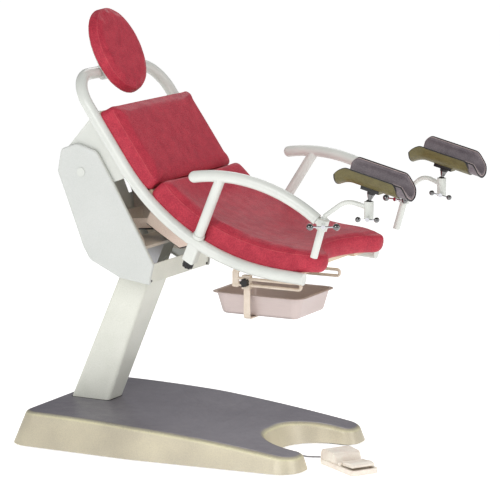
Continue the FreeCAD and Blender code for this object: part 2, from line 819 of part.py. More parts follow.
def make_headrest():
    pad = headrest_disc(0, headrest_pad_depth, 0)
    export("headrest_pad", pad)
    back = headrest_pad_depth + seat_gap
    board = headrest_disc(back, back + headrest_board_depth, 14)
    rear = back + headrest_board_depth
    away = (crossbar - headrest_center).dot(headrest_normal) * -1
    down = (crossbar - headrest_center).dot(headrest_down)
    block_depth = away + tube_radius + headrest_clamp_wall - rear
    half_height = tube_radius + headrest_clamp_wall
    corner = headrest_center - headrest_normal * (rear + block_depth) + headrest_down * (down - half_height)
    blocks = []
    for y in (-headrest_clamp_y, headrest_clamp_y):
        low = corner + Vector(0, y - headrest_clamp_length / 2, 0)
        a = low
        b = low + headrest_normal * block_depth
        c = b + headrest_down * (2 * half_height)
        d = low + headrest_down * (2 * half_height)
        ring = rounded_wire([(a, 16), (b, 0), (c, 0), (d, 16)])
        blocks.append(Part.Face(ring).extrude(Vector(0, headrest_clamp_length, 0)))
    frame = fuse([board] + blocks)
    bore = rod(Vector(crossbar.x, -200, crossbar.z), Vector(crossbar.x, 200, crossbar.z), tube_radius + fit_gap)
    export("headrest_bracket", frame.cut(bore))


# Tilt drive

def make_drive():
    eye, pivot, along = drive_line()
    length = (pivot - eye).Length
    housing_points = [(-160, 786, 8), (-98, 748, 10), (-20, 703, 10), (24, 716, 12), (52, 760, 16),
                      (54, 806, 14), (10, 818, 12), (-60, 840, 12), (-128, 850, 10)]
    housing = side_profile(housing_points, -drive_housing_half, drive_housing_half)
    long_edges = [edge for edge in housing.Edges
                  if abs(abs(edge.CenterOfMass.y) - drive_housing_half) < 0.1]
    housing = housing.makeChamfer(5, long_edges)
    tube_start = eye + along * 46
    tube = rod(tube_start, eye + along * (length - 120), drive_tube_radius)
    body = fuse([housing, tube])
    body = body.cut(rod(tube_start - along * 5, eye + along * (length - 60), drive_rod_radius + fit_gap))
    pin_reach = drive_housing_half + 12
    ends = [rod(Vector(pivot.x, y, pivot.z), Vector(pivot.x, y + 13, pivot.z), drive_pin_radius + 2)
            for y in (-pin_reach, pin_reach - 13)]
    export("drive_housing", fuse([body] + ends))
    rod_end = eye + along * (length - 70)
    shaft = rod(eye + along * (drive_pin_radius + drive_eye_clearance + 3), rod_end, drive_rod_radius)
    ring = rod(eye + Vector(0, -10, 0), eye + Vector(0, 10, 0), drive_pin_radius + drive_eye_clearance + 6)
    shaft = fuse([shaft, ring])
    shaft = shaft.cut(rod(eye + Vector(0, -20, 0), eye + Vector(0, 20, 0), drive_pin_radius + drive_eye_clearance))
    export("drive_rod", shaft)


# Armrests and leg supports, right-hand side

def leg_axis():
    """Centre of the lower clamp and the way the leg post points."""
    path = arm_line()
    along = path.tangentAt(path.LastParameter)
    center = arm_front + along * (leg_clamp_radius + 6)
    lean = Vector(math.sin(leg_post_lean), 0, math.cos(leg_post_lean))
    return center, lean


def facing(turn):
    """Level direction towards -Y, turned by an angle towards the foot end."""
    return Vector(math.sin(turn), -math.cos(turn), 0)


def across_middle(point, side):
    """A point of the right side, or its twin on the left."""
    return Vector(point.x, -side * point.y, point.z)


def make_armrest():
    point, lean = arm_axis()
    path = Part.Wire([arm_line()])
    tube = sweep(path, arm_radius)
    cap = Part.makeSphere(arm_radius, arm_rear)
    foot = point + lean * (tube_radius + arm_collar_rise)
    collar = rod(foot, foot + lean * arm_collar_height, arm_post_radius + arm_collar_wall)
    post = rod(foot, arm_post_top(), arm_post_radius)
    stud = rod(point - lean * (tube_radius + arm_socket_length + 20), foot, arm_stud_radius)
    center, post_dir = leg_axis()
    half = leg_clamp_height / 2
    sleeve = rod(center - post_dir * half, center + post_dir * half, leg_clamp_radius)
    neck = rod(arm_front, center, arm_radius - 6)
    arm = fuse([tube, cap, collar, post, stud, sleeve, neck])
    bore = rod(center - post_dir * (half + 15), center + post_dir * (half + 15),
               leg_post_radius + leg_bush_wall + 2 * fit_gap)
    flange_room = rod(center + post_dir * half, center + post_dir * (half + 15), leg_flange_radius + seat_gap)
    bore = fuse([bore, flange_room])
    for name, side in sides.items():
        middle = across_middle(center, side)
        out = facing(leg_handle_turns[name])
        boss = rod(middle, middle + out * (leg_clamp_radius + leg_boss_length), leg_boss_radius)
        thread = rod(middle, middle + out * 80, handle_rod_radius + fit_gap)
        form = arm if side < 0 else mirrored(arm)
        room = bore if side < 0 else mirrored(bore)
        export("armrest_" + name, fuse([form, boss]).cut(room).cut(thread))

    block_top = point - lean * 4
    block_end = point - lean * (tube_radius + arm_socket_length)
    across = lean.cross(Vector(0, 1, 0)).normalize()
    side = lean.cross(across).normalize()
    half_block = arm_socket_width / 2
    corners = []
    for u, v in ((-1, -1), (1, -1), (1, 1), (-1, 1)):
        corners.append((block_end + across * (u * half_block) + side * (v * (half_block - 3)), 8))
    block = Part.Face(rounded_wire(corners)).extrude(block_top - block_end)
    rail_room = sweep(rail_path(0, -rail_half), tube_radius + seat_gap)
    block = block.cut(rail_room)
    block = max(block.Solids, key=lambda solid: solid.Volume)
    block = block.cut(rod(point - lean * 150, point + lean * 40, arm_stud_radius + fit_gap))
    export("arm_sockets", both(block))

    knob_top = block_end - lean * seat_gap
    knob_end = knob_top - lean * arm_knob_length
    knob = rod(knob_top, knob_end, arm_knob_radius)
    turn_count = 9
    for i in range(turn_count):
        angle = 2 * math.pi * i / turn_count
        out = across * math.cos(angle) + side * math.sin(angle)
        groove = rod(knob_top + out * (arm_knob_radius + 1.5) - lean * 5,
                     knob_end + out * (arm_knob_radius + 1.5) - lean, 4)
        knob = knob.cut(groove)
    knob = knob.cut(rod(knob_top + lean, knob_top - lean * 20.5, arm_stud_radius + fit_gap))
    export("arm_knob_right", knob)
    export("arm_knob_left", mirrored(knob))


def make_leg_support():
    center, lean = leg_axis()
    half = leg_clamp_height / 2
    bush = rod(center - lean * half, center + lean * half, leg_post_radius + leg_bush_wall + fit_gap)
    flange = rod(center + lean * (half + fit_gap), center + lean * (half + 3), leg_flange_radius)
    bush = fuse([bush, flange, rod(center, center + lean * (half + 1), leg_post_radius + 1)])
    bush = bush.cut(rod(center - lean * 60, center + lean * 60, leg_post_radius + fit_gap))
    export("leg_bush_right", bush)
    export("leg_bush_left", mirrored(bush))

    post_top = center + lean * leg_post_top
    post = rod(center - lean * leg_post_tail, post_top, leg_post_radius)
    head = Vector(leg_head_x, leg_head_y, leg_head_z)
    crest = (post_top + head) * 0.5 + Vector(0, 0, leg_rod_crest)
    entry = head - Vector(leg_head_radius * 0.4, 0, crutch_ball_radius + leg_rod_radius - 5)
    rod_points = [(post_top - lean * 6, 0), (post_top + lean * 8, 12), (crest, 62), (entry, 0)]
    bar = sweep(rounded_wire(rod_points, closed=False), leg_rod_radius)
    cup = rod(Vector(head.x, head.y, leg_head_low), head + Vector(0, 0, 5), leg_head_radius)
    carrier = fuse([post, bar, cup])
    ball_room = Part.makeSphere(crutch_ball_radius + fit_gap, head)
    mouth = tapered_rod(head, head + Vector(0, 0, 20), crutch_ball_radius - 3, crutch_ball_radius + 16)
    carrier = carrier.cut(ball_room).cut(mouth)

    normal = Vector(math.sin(crutch_slope), 0, math.cos(crutch_slope))
    under_saddle = crutch_stud_length - saddle_thickness - socket_length
    ball = Part.makeSphere(crutch_ball_radius, head)
    stud = rod(head, head + normal * (under_saddle + socket_length - 2), crutch_stud_radius)
    cone = tapered_rod(head + normal * (crutch_ball_radius + 3), head + normal * under_saddle,
                       crutch_cone_low, crutch_cone_high)
    joint = fuse([ball, stud, cone])
    shell, pad = crutch_forms(under_saddle)
    turn = FreeCAD.Rotation(Vector(0, 1, 0), math.degrees(crutch_slope))

    for name, side in sides.items():
        middle = across_middle(center, side)
        out = facing(leg_handle_turns[name])
        handle = t_handle(middle + out * leg_clamp_radius, out, 0, leg_handle_reach, leg_handle_span,
                          leg_handle_ball, leg_clamp_radius - leg_post_radius - 4)
        export("leg_handle_" + name, handle)

        form = carrier if side < 0 else mirrored(carrier)
        seat = across_middle(Vector(head.x, head.y, leg_head_low + leg_head_thread), side)
        out = facing(crutch_handle_turns[name])
        boss = rod(seat, seat + out * (leg_head_radius + 5), 7)
        thread = rod(seat, seat + out * 60, handle_rod_radius + fit_gap)
        export("leg_rod_" + name, fuse([form, boss]).cut(thread))
        handle = t_handle(seat + out * leg_head_radius, out, crutch_handle_rolls[name], crutch_handle_reach,
                          crutch_handle_span, crutch_handle_ball, leg_head_radius - 6)
        export("crutch_handle_" + name, handle)

        export("crutch_ball_" + name, joint if side < 0 else mirrored(joint))
        place = FreeCAD.Placement(across_middle(head + normal * crutch_stud_length, side), turn)
        for part, local in (("crutch_shell_", shell), ("crutch_pad_", pad)):
            placed = local.copy()
            placed.Placement = place.multiply(placed.Placement)
            export(part + name, placed)


def t_handle(base, out, roll, reach, span, ball, depth):
    """Clamp screw along a level direction with a cross bar, rolled about it, and a ball at each end."""
    end = base + out * reach
    level = Vector(-out.y, out.x, 0)
    bar_dir = level * math.cos(roll) - Vector(0, 0, 1) * math.sin(roll)
    screw = rod(base - out * depth, end, handle_rod_radius)
    collar = rod(end - out * 5, end + out * 5, handle_rod_radius + 3.5)
    ends = [end - bar_dir * (span / 2), end + bar_dir * (span / 2)]
    bar = rod(ends[0], ends[1], handle_rod_radius - 0.7)
    balls = [Part.makeSphere(ball, point, bar_dir) for point in ends]
    return fuse([screw, collar, bar] + balls)


def trough(profile, near_side, far_side):
    """Sector of a turned trough along X with its lowest line at Z = 0, from a closed (x, radius) outline."""
    middle = Vector(0, 0, crutch_radius)
    wire = Part.Wire([edge.copy() for edge in profile])
    wire.rotate(Vector(0, 0, 0), Vector(1, 0, 0), -90 - near_side)
    wire.translate(middle)
    return Part.Face(wire).revolve(middle, Vector(1, 0, 0), near_side + far_side)


def radial_outline(points):
    """Closed outline in the XY plane from (x, radius, corner) points."""
    return rounded_wire([(Vector(x, r, 0), corner) for x, r, corner in points]).Edges


def crutch_forms(under_saddle):
    """Shell and pad of a knee crutch, with the stud's top face at the origin of the trough."""
    outer = crutch_radius
    inner = crutch_radius - crutch_wall
    rear, front = crutch_rear, crutch_front
    lip = rear + crutch_lip
    curl = (crutch_lip ** 2 + crutch_lip_drop ** 2) / crutch_lip_drop
    profile = radial_outline([(front, inner, 0), (front, outer, 0), (lip, outer, curl), (rear, outer + crutch_lip_drop, 0),
                              (rear - 2, inner + crutch_lip_drop, 0), (lip, inner, curl - crutch_wall)])
    shell = trough(profile, crutch_near_side, crutch_far_side)
    near_top = crutch_radius * (1 - math.cos(math.radians(crutch_near_side)))
    far_top = crutch_radius * (1 - math.cos(math.radians(crutch_far_side)))
    side = [(rear - 4, -40, 0), (rear - 4, near_top - 2, 56), (rear + 64, near_top + 6, 20),
            (rear + 90, far_top + 8, 12), (front - 46, far_top + 8, 12), (front - 28, near_top + 6, 10),
            (front, near_top - 4, 30), (front, -40, 0)]
    shell = shell.common(side_profile(side, -outer * 2, outer * 2))
    saddle = Part.makeBox(saddle_length, saddle_width, saddle_thickness + crutch_wall,
                          Vector(-saddle_length / 2, -saddle_width / 2, -saddle_thickness))
    saddle = saddle.cut(rod(Vector(-60, 0, crutch_radius), Vector(60, 0, crutch_radius), crutch_radius - 1))
    low = under_saddle + seat_gap - crutch_stud_length
    socket = rod(Vector(0, 0, low), Vector(0, 0, -saddle_thickness + 2), socket_radius)
    shell = fuse([shell, saddle, socket])
    shell = shell.cut(rod(Vector(0, 0, low - 5), Vector(0, 0, -saddle_thickness - 1.5), crutch_stud_radius + fit_gap))

    skin = inner - seat_gap
    top = skin - crutch_pad_thickness
    rear, front = crutch_pad_rear_far, crutch_pad_front
    profile = radial_outline([(front, top, 4), (front, skin, 4), (rear, skin, 2), (rear, top, 4)])
    pad = trough(profile, crutch_near_side - 3, crutch_far_side + 4)
    side = [(rear - 1, -10, 0), (rear - 1, far_top + 6, 40), (front - 64, far_top + 10, 46),
            (front, near_top - 14, 34), (front, -10, 0)]
    pad = pad.common(side_profile(side, -outer * 2, outer * 2))
    low = -crutch_wall
    plan = Part.makePolygon([Vector(crutch_pad_rear, -skin, low), Vector(front, -skin, low), Vector(front, skin, low),
                             Vector(rear, skin, low), Vector(crutch_pad_rear, -skin, low)])
    return shell, pad.common(Part.Face(plan).extrude(Vector(0, 0, 3 * outer)))


# Bowl

def bowl_solid(grow, z_low, z_high):
    def ring(z, inset):
        half_x = bowl_length / 2 - inset
        half_y = bowl_width / 2 - inset
        corners = [(-1, -1), (1, -1), (1, 1), (-1, 1)]
        points = [(Vector(bowl_x + u * half_x, v * half_y, z), bowl_corner - inset * 0.6) for u, v in corners]
        return rounded_wire(points)
    top_inset = bowl_rim - grow
    return Part.makeLoft([ring(z_low, top_inset + bowl_taper), ring(z_high, top_inset)], True, True)


def make_bowl():
    low = bowl_rim_z - bowl_depth
    body = bowl_solid(0, low, bowl_rim_z)
    bottom = [edge for edge in body.Edges if abs(edge.CenterOfMass.z - low) < 0.1]
    body = body.makeFillet(16, bottom)
    rim = Part.makeLoft([bowl_ring(bowl_rim_z - bowl_wall, 0), bowl_ring(bowl_rim_z, 0)], True, True)
    outside = fuse([body, rim])
    inside = bowl_solid(-bowl_wall, low + bowl_wall, bowl_rim_z + 1)
    bottom = [edge for edge in inside.Edges if abs(edge.CenterOfMass.z - low - bowl_wall) < 0.1]
    inside = inside.makeFillet(16 - bowl_wall, bottom)
    export("bowl", outside.cut(inside))

    half_y = bowl_width / 2 + 6
    low_z = low - seat_gap - strap_thickness
    top_z = hairpin_z - hairpin_half_height - hairpin_radius - seat_gap
    outer = [(-half_y - strap_thickness, top_z, 0), (-half_y - strap_thickness, low_z, 14),
             (half_y + strap_thickness, low_z, 14), (half_y + strap_thickness, top_z, 0),
             (half_y, top_z, 0), (half_y, low_z + strap_thickness, 10),
             (-half_y, low_z + strap_thickness, 10), (-half_y, top_z, 0)]
    x = hanger_x
    wire = rounded_wire([(Vector(x - strap_width / 2, y, z), r) for y, z, r in outer])
    strap = Part.Face(wire).extrude(Vector(strap_width, 0, 0))
    y_mid = half_y + strap_thickness / 2
    shoes = []
    for side in (-1, 1):
        block = Part.makeBox(strap_width + 6, 22, 2 * hairpin_half_height + 4 * hairpin_radius + 4,
                             Vector(x - strap_width / 2 - 3, side * y_mid - 11,
                                    hairpin_z - hairpin_half_height - 2 * hairpin_radius - 2))
        shoes.append(block)
    carrier = fuse([strap] + shoes)
    for side in (-1, 1):
        for z in (hairpin_z - hairpin_half_height, hairpin_z + hairpin_half_height):
            carrier = carrier.cut(rod(Vector(x - 60, side * y_mid, z), Vector(x + 60, side * y_mid, z),
                                      hairpin_radius + fit_gap))
    thread = rod(Vector(x, -y_mid - 30, hairpin_z), Vector(x, -y_mid + 4, hairpin_z), 3.5 + fit_gap)
    carrier = carrier.cut(thread)
    export("bowl_carrier", carrier)

    face = -y_mid - 11 - seat_gap
    knob = rod(Vector(x, face - 16, hairpin_z), Vector(x, face, hairpin_z), 15)
    for i in range(5):
        angle = 2 * math.pi * i / 5
        lobe = rod(Vector(x + 16 * math.cos(angle), face + 1, hairpin_z + 16 * math.sin(angle)),
                   Vector(x + 16 * math.cos(angle), face - 17, hairpin_z + 16 * math.sin(angle)), 5)
        knob = knob.cut(lobe)
    stem = rod(Vector(x, face - 2, hairpin_z), Vector(x, face + 12, hairpin_z), 3.5)
    export("bowl_knob", fuse([knob, stem]))

    rails = []
    rear_x = hanger_x - 34
    path = rounded_wire([
        (Vector(rear_x, -y_mid, hairpin_z + hairpin_half_height), 0),
        (Vector(hairpin_front, -y_mid, hairpin_z + hairpin_half_height), hairpin_half_height - 0.5),
        (Vector(hairpin_front, -y_mid, hairpin_z - hairpin_half_height), hairpin_half_height - 0.5),
        (Vector(rear_x, -y_mid, hairpin_z - hairpin_half_height), 0)], closed=False)
    loop = sweep(path, hairpin_radius)
    tube_z = rail_height(hanger_x, cross_tube_offset)
    hanger = [(rear_x - 22, hairpin_z - 20, 4), (rear_x + 2, hairpin_z - 20, 4), (rear_x + 2, hairpin_z + 30, 0),
              (hanger_x + 10, tube_z - 20, 6), (hanger_x + 16, tube_z - 6, 6), (hanger_x - 16, tube_z - 6, 6),
              (rear_x - 22, hairpin_z + 36, 14)]
    plate = side_profile(hanger, -y_mid - 3, -y_mid + 3)
    plate = plate.cut(rod(Vector(hanger_x, -300, tube_z), Vector(hanger_x, 300, tube_z), cross_tube_radius + seat_gap))
    piece = fuse([loop, plate])
    export("bowl_slide_rails", both(piece))


def bowl_ring(z, inset):
    half_x = bowl_length / 2 - inset
    half_y = bowl_width / 2 - inset
    corners = [(-1, -1), (1, -1), (1, 1), (-1, 1)]
    return rounded_wire([(Vector(bowl_x + u * half_x, v * half_y, z), bowl_corner - inset) for u, v in corners])


# Foot switch and its cable

def switch_place():
    return FreeCAD.Placement(Vector(switch_x, switch_y, 0), FreeCAD.Rotation(Vector(0, 0, 1), switch_turn))


def make_foot_switch():
    """Low housing with a hump at one end and a rocking pedal beside it."""
    place = switch_place()
    half_l = switch_length / 2
    half_w = switch_width / 2
    base = plan_profile([(-half_l, -half_w, 16), (half_l, -half_w, 16), (half_l, half_w, 16), (-half_l, half_w, 16)],
                        0, 18)
    hump_start = pedal_length - half_l + 8
    hump = side_profile([(hump_start, 4, 0), (half_l - 2, 4, 0), (half_l - 8, switch_hump, 22),
                         (hump_start + 12, switch_hump - 4, 20)], -half_w + 3, half_w - 3)
    housing = fuse([base, hump])
    pocket = Part.makeBox(pedal_length - 4, switch_width - 20, 30, Vector(-half_l + 10, -half_w + 10, 10))
    housing = housing.cut(pocket)
    pivot = Vector(hump_start - 14, 0, 24)
    ears = []
    for y in (-half_w + 3, half_w - 9):
        ears.append(Part.makeBox(16, 6, 20, Vector(pivot.x - 8, y, 10)))
    pin = rod(pivot + Vector(0, -half_w + 3, 0), pivot + Vector(0, half_w - 3, 0), 3)
    gland = tapered_rod(Vector(half_l - 6, 0, 16), Vector(half_l + switch_gland, 0, switch_gland_z), 8, 4.5)
    housing = fuse([housing] + ears + [pin, gland])
    housing.Placement = place
    export("foot_switch", housing)

    rear = pivot.x + 6
    front = -half_l + 14
    pedal = side_profile([(front, 24, 3), (rear, 20, 3), (rear, 30, 3), (front + 20, 38, 20), (front, 34, 4)],
                         -half_w + 11, half_w - 11)
    pedal = pedal.cut(rod(pivot + Vector(0, -60, 0), pivot + Vector(0, 60, 0), 3 + fit_gap))
    pedal.Placement = place
    export("foot_pedal", pedal)


def cord_wire(name, points):
    """Straight runs joined by arcs as large as their two runs allow."""
    route = [(points[0], 0)]
    for before, point, after in zip(points, points[1:], points[2:]):
        run = min((point - before).Length, (after - point).Length)
        turn = (point - before).getAngle(after - point)
        radius = 0.45 * run / math.tan(turn / 2)
        print(name, "arc radius", round(radius, 1))
        route.append((point, radius))
    route.append((points[-1], 0))
    return rounded_wire(route, closed=False)


def make_cable():
    """Gland in the notch wall, cable to the coil, coil, cable to the switch."""
    neck = gland_seat + gland_dir * gland_neck
    tip = gland_seat + gland_dir * gland_length
    gland = fuse([
        rod(gland_seat, gland_seat + gland_dir * gland_flange, gland_radius + 1.5),
        rod(gland_seat, neck, gland_radius),
        tapered_rod(neck, tip, gland_radius + 2, cable_radius + 1.2),
    ])
    export("cable_gland", gland)

    floor_z = cable_radius + 0.2
    turn_radius = coil_outer - cable_radius - 0.5
    top_y = coil_y + turn_radius
    route_in = [
        tip,
        tip + Vector(14, -0.3, -0.8),
        tip + Vector(29, -1.4, -5.6),
        tip + Vector(44, -2.6, floor_z + 1.4 - tip.z),
        Vector(coil_x - 4, top_y, floor_z),
    ]
    switch_tip = switch_place().multVec(Vector(switch_length / 2 + switch_gland, 0, switch_gland_z))
    into = switch_place().Rotation.multVec(Vector(1, 0, 0))
    route_out = [
        Vector(coil_x - 2, top_y - 0.4, floor_z + 2 * cable_radius),
        Vector(coil_x + 22, top_y + 3, floor_z + 4),
        Vector(coil_x + 46, top_y + 9, floor_z),
        Vector(coil_x + 70, top_y + 19, floor_z),
        Vector(coil_x + 92, top_y + 25, floor_z + 0.6),
        switch_tip + into * 20 + Vector(-3, 0, -5.5),
        switch_tip,
    ]
    tubes = []
    for name, route in (("cable to coil", route_in), ("cable to switch", route_out)):
        wire = cord_wire(name, route)
        tube = sweep(wire, cable_radius)
        expected = math.pi * cable_radius ** 2 * wire.Length
        print(name, "length", round(wire.Length, 1), "volume ratio", round(tube.Volume / expected, 4))
        tubes.append(tube)
    export("cable_tube", Part.makeCompound(tubes))
    middle = Vector(coil_x, coil_y, 0.2)
    coil = Part.makeCylinder(coil_outer, coil_height, middle)
    coil = coil.cut(Part.makeCylinder(coil_inner, coil_height + 2, middle - Vector(0, 0, 1)))
    export("cable_coil", coil)


os.makedirs("parts", exist_ok=True)
make_base()
make_column()
make_head()
make_seat_frame()
make_tilt_frame()
make_upholstery()
make_headrest()
make_drive()
make_armrest()
make_leg_support()
make_bowl()
make_foot_switch()
make_cable()
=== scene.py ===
import json
import math

import bmesh
import bpy
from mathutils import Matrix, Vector
from mathutils.bvhtree import BVHTree


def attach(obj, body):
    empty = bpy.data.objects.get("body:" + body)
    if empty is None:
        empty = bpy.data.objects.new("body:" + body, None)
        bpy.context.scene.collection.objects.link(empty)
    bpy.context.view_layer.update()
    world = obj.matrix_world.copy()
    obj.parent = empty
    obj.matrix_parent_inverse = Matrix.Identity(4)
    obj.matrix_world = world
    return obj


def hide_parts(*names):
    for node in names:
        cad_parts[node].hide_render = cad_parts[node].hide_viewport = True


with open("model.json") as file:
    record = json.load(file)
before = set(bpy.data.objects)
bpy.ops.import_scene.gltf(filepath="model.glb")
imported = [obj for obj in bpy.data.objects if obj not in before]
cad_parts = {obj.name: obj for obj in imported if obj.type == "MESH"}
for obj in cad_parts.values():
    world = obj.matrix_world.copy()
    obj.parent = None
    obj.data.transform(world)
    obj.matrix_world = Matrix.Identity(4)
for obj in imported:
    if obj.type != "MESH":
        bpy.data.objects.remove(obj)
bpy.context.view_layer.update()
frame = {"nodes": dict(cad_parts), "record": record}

# Gynecological examination chair, metres: +X foot end, +Y the sitter's left, +Z up.

scene = bpy.context.scene
scene.view_settings.view_transform = "Standard"

node_body = {n: body for body, nodes in frame["record"]["behaviour"]["bodies"].items() for n in nodes}
sides = {"right": -1, "left": 1}

# Camera, fitted to the photograph
camera_place = Vector((4.541, -8.281, 2.338))
camera_target = Vector((0.230, 0.0, 0.726))
camera_lens = 194.4

# Studio: strength of the surroundings for diffuse and for mirrored rays, glow of the floor, and soft boxes
# with azimuth, elevation, distance, width, height and power
around_diffuse = 0.50
around_mirrored = 0.16
floor_glow = 0.60
floor_reach = 40
soft_boxes = {
    "key_box": (2, 26, 4.6, 2.6, 2.0, 72),
    "foot_end_box": (84, 20, 4.2, 1.6, 1.8, 34),
    "rear_box": (200, 38, 4.8, 2.4, 1.8, 44),
}

# Line of the seat tube
back_top = Vector((-0.234, 0.0, 1.200))
front_end = Vector((0.582, 0.0, 0.683))
back_angle = math.radians(55)
front_angle = math.radians(4)
rail_bend = 0.8
rail_half = 0.290

# Upholstery
pad_half = 0.288
pad_seat = 0.0217
pad_sink = 0.005
back_pad_start = 0.009
back_pad_end = 0.340
back_pad_height = 0.077
seat_pad_start = 0.347
seat_pad_thickness = 0.062
seat_overhang = 0.055
notch_reach = 0.180
seat_edge_rise = 0.008
seat_middle_sink = 0.024
headrest_center = Vector((-0.276, 0.0, 1.401))
headrest_tilt = math.radians(65)
headrest_size = (0.326, 0.288)
headrest_depth = 0.0434
welt_radius = 0.0016
stitch_inset = 0.010

# Armrest posts
arm_lean = Vector((0.463, -0.231, 0.855)).normalized()
arm_cross_x = 0.174
post_room = 0.0225

# Knee crutches, both with their low side towards -Y
crutch_head = Vector((0.828, -0.300, 0.962))
crutch_stud = 0.049
crutch_slope = math.radians(14)
crutch_radius = 0.058
crutch_wall = 0.004
crutch_near_side = math.radians(84)
crutch_far_side = math.radians(104)
crutch_rear = -0.117
crutch_front = 0.102
crutch_lip = 0.034
crutch_lip_drop = 0.020
crutch_saddle_half = 0.050
crutch_pad = 0.015
crutch_pad_rear = -0.112
crutch_pad_slant = 0.033
crutch_pad_front = 0.144
crutch_pad_edge = 0.007
crutch_edging = 0.0025
crutch_pad_edging = 0.0024
# Radius of the pale line that paints the highlight on the crutch pad's rim.
crutch_highlight_piping = 0.0013

# Clamp handles: turn and roll of their bars, and the radius of their balls
leg_handles = {"right": (math.radians(27.5), 0.0), "left": (math.radians(-17.5), 0.0)}
crutch_handles = {"right": (math.radians(18), 0.0), "left": (math.radians(18), math.radians(14))}
leg_ball = 0.012
crutch_ball = 0.0093

# Foot switch cable: the route's points are those of the tube in the CAD model
cable_radius = 0.003
coil_center = Vector((0.432, -0.095, 0.0032))
coil_turn_radii = (0.042, 0.036, 0.030, 0.024)
gland_tip = Vector((0.372, -0.0515, 0.013))
switch_place = Vector((0.672, -0.111, 0.0))
switch_turn = math.radians(147.6)
switch_reach = 0.1295
switch_gland_z = 0.012


# Camera, light and floor

def make_camera():
    camera = bpy.data.objects.new("photo_camera", bpy.data.cameras.new("photo_camera"))
    camera.location = camera_place
    camera.rotation_euler = (camera_target - camera_place).to_track_quat("-Z", "Y").to_euler()
    camera.data.lens = camera_lens
    camera.data.clip_end = 100
    scene.collection.objects.link(camera)
    scene.camera = camera


def area_light(name, azimuth, elevation, distance, width, height, power):
    """Soft box that looks at the chair from an azimuth, counted from -Y towards +X, and an elevation."""
    a = math.radians(azimuth)
    e = math.radians(elevation)
    away = Vector((math.sin(a) * math.cos(e), -math.cos(a) * math.cos(e), math.sin(e)))
    light = bpy.data.lights.new(name, "AREA")
    light.shape = "RECTANGLE"
    light.size = width
    light.size_y = height
    light.energy = power
    lamp = bpy.data.objects.new(name, light)
    lamp.location = camera_target + away * distance
    lamp.rotation_euler = (-away).to_track_quat("-Z", "Y").to_euler()
    scene.collection.objects.link(lamp)


def make_studio():
    world = bpy.data.worlds.new("studio")
    world.use_nodes = True
    tree = world.node_tree
    back = tree.nodes["Background"]
    back.inputs["Color"].default_value = (1, 1, 1, 1)
    path = tree.nodes.new("ShaderNodeLightPath")
    around = node(tree, "ShaderNodeMapRange", {"Value": path.outputs["Is Glossy Ray"],
                                               "To Min": around_diffuse, "To Max": around_mirrored})
    level = node(tree, "ShaderNodeMapRange", {"Value": path.outputs["Is Camera Ray"],
                                              "To Min": around.outputs["Result"], "To Max": 1.0})
    tree.links.new(level.outputs["Result"], back.inputs["Strength"])
    scene.world = world
    for name, values in soft_boxes.items():
        area_light(name, *values)

    floor = bpy.data.materials.new("studio_floor")
    floor.use_nodes = True
    shader = floor.node_tree.nodes["Principled BSDF"]
    shader.inputs["Base Color"].default_value = (0.88, 0.88, 0.88, 1)
    shader.inputs["Roughness"].default_value = 0.9
    shader.inputs["Specular IOR Level"].default_value = 0.1
    shader.inputs["Emission Color"].default_value = (1, 1, 1, 1)
    shader.inputs["Emission Strength"].default_value = floor_glow
    corners = [(x * floor_reach, y * floor_reach, 0) for x, y in ((-1, -1), (1, -1), (1, 1), (-1, 1))]
    ground = mesh_object("studio_floor", corners, [(0, 1, 2, 3)], floor)


# Mesh helpers

def link(obj):
    scene.collection.objects.link(obj)
    return obj


def mesh_object(name, verts, faces, material, smooth=False):
    mesh = bpy.data.meshes.new(name)
    mesh.from_pydata([tuple(v) for v in verts], [], faces)
    mesh.update()
    mesh.materials.append(material)
    if smooth:
        mesh.polygons.foreach_set("use_smooth", [True] * len(mesh.polygons))
    return link(bpy.data.objects.new(name, mesh))


def evaluated_mesh(obj):
    graph = bpy.context.evaluated_depsgraph_get()
    return bpy.data.meshes.new_from_object(obj.evaluated_get(graph), depsgraph=graph)


def bake(obj):
    """Puts the modifiers' result in the mesh and removes the modifiers."""
    mesh = evaluated_mesh(obj)
    obj.modifiers.clear()
    obj.data = mesh
    return obj


def face_outwards(mesh):
    form = bmesh.new()
    form.from_mesh(mesh)
    bmesh.ops.recalc_face_normals(form, faces=form.faces)
    form.to_mesh(mesh)
    form.free()


def tube(name, points, radius, material, closed=False):
    """Round cord along points, made a mesh."""
    curve = bpy.data.curves.new(name, "CURVE")
    curve.dimensions = "3D"
    curve.bevel_depth = radius
    curve.bevel_resolution = 2
    curve.use_fill_caps = True
    line = curve.splines.new("POLY")
    line.points.add(len(points) - 1)
    for spot, point in zip(line.points, points):
        spot.co = (*point, 1)
    line.use_cyclic_u = closed
    source = link(bpy.data.objects.new(name + "_line", curve))
    mesh = evaluated_mesh(source)
    bpy.data.objects.remove(source)
    mesh.materials.clear()
    mesh.materials.append(material)
    mesh.polygons.foreach_set("use_smooth", [True] * len(mesh.polygons))
    return link(bpy.data.objects.new(name, mesh))


def finish_piece(obj, node):
    """Carries a piece that stands for a CAD node."""
    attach(obj, node_body[node])
    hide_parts(node)


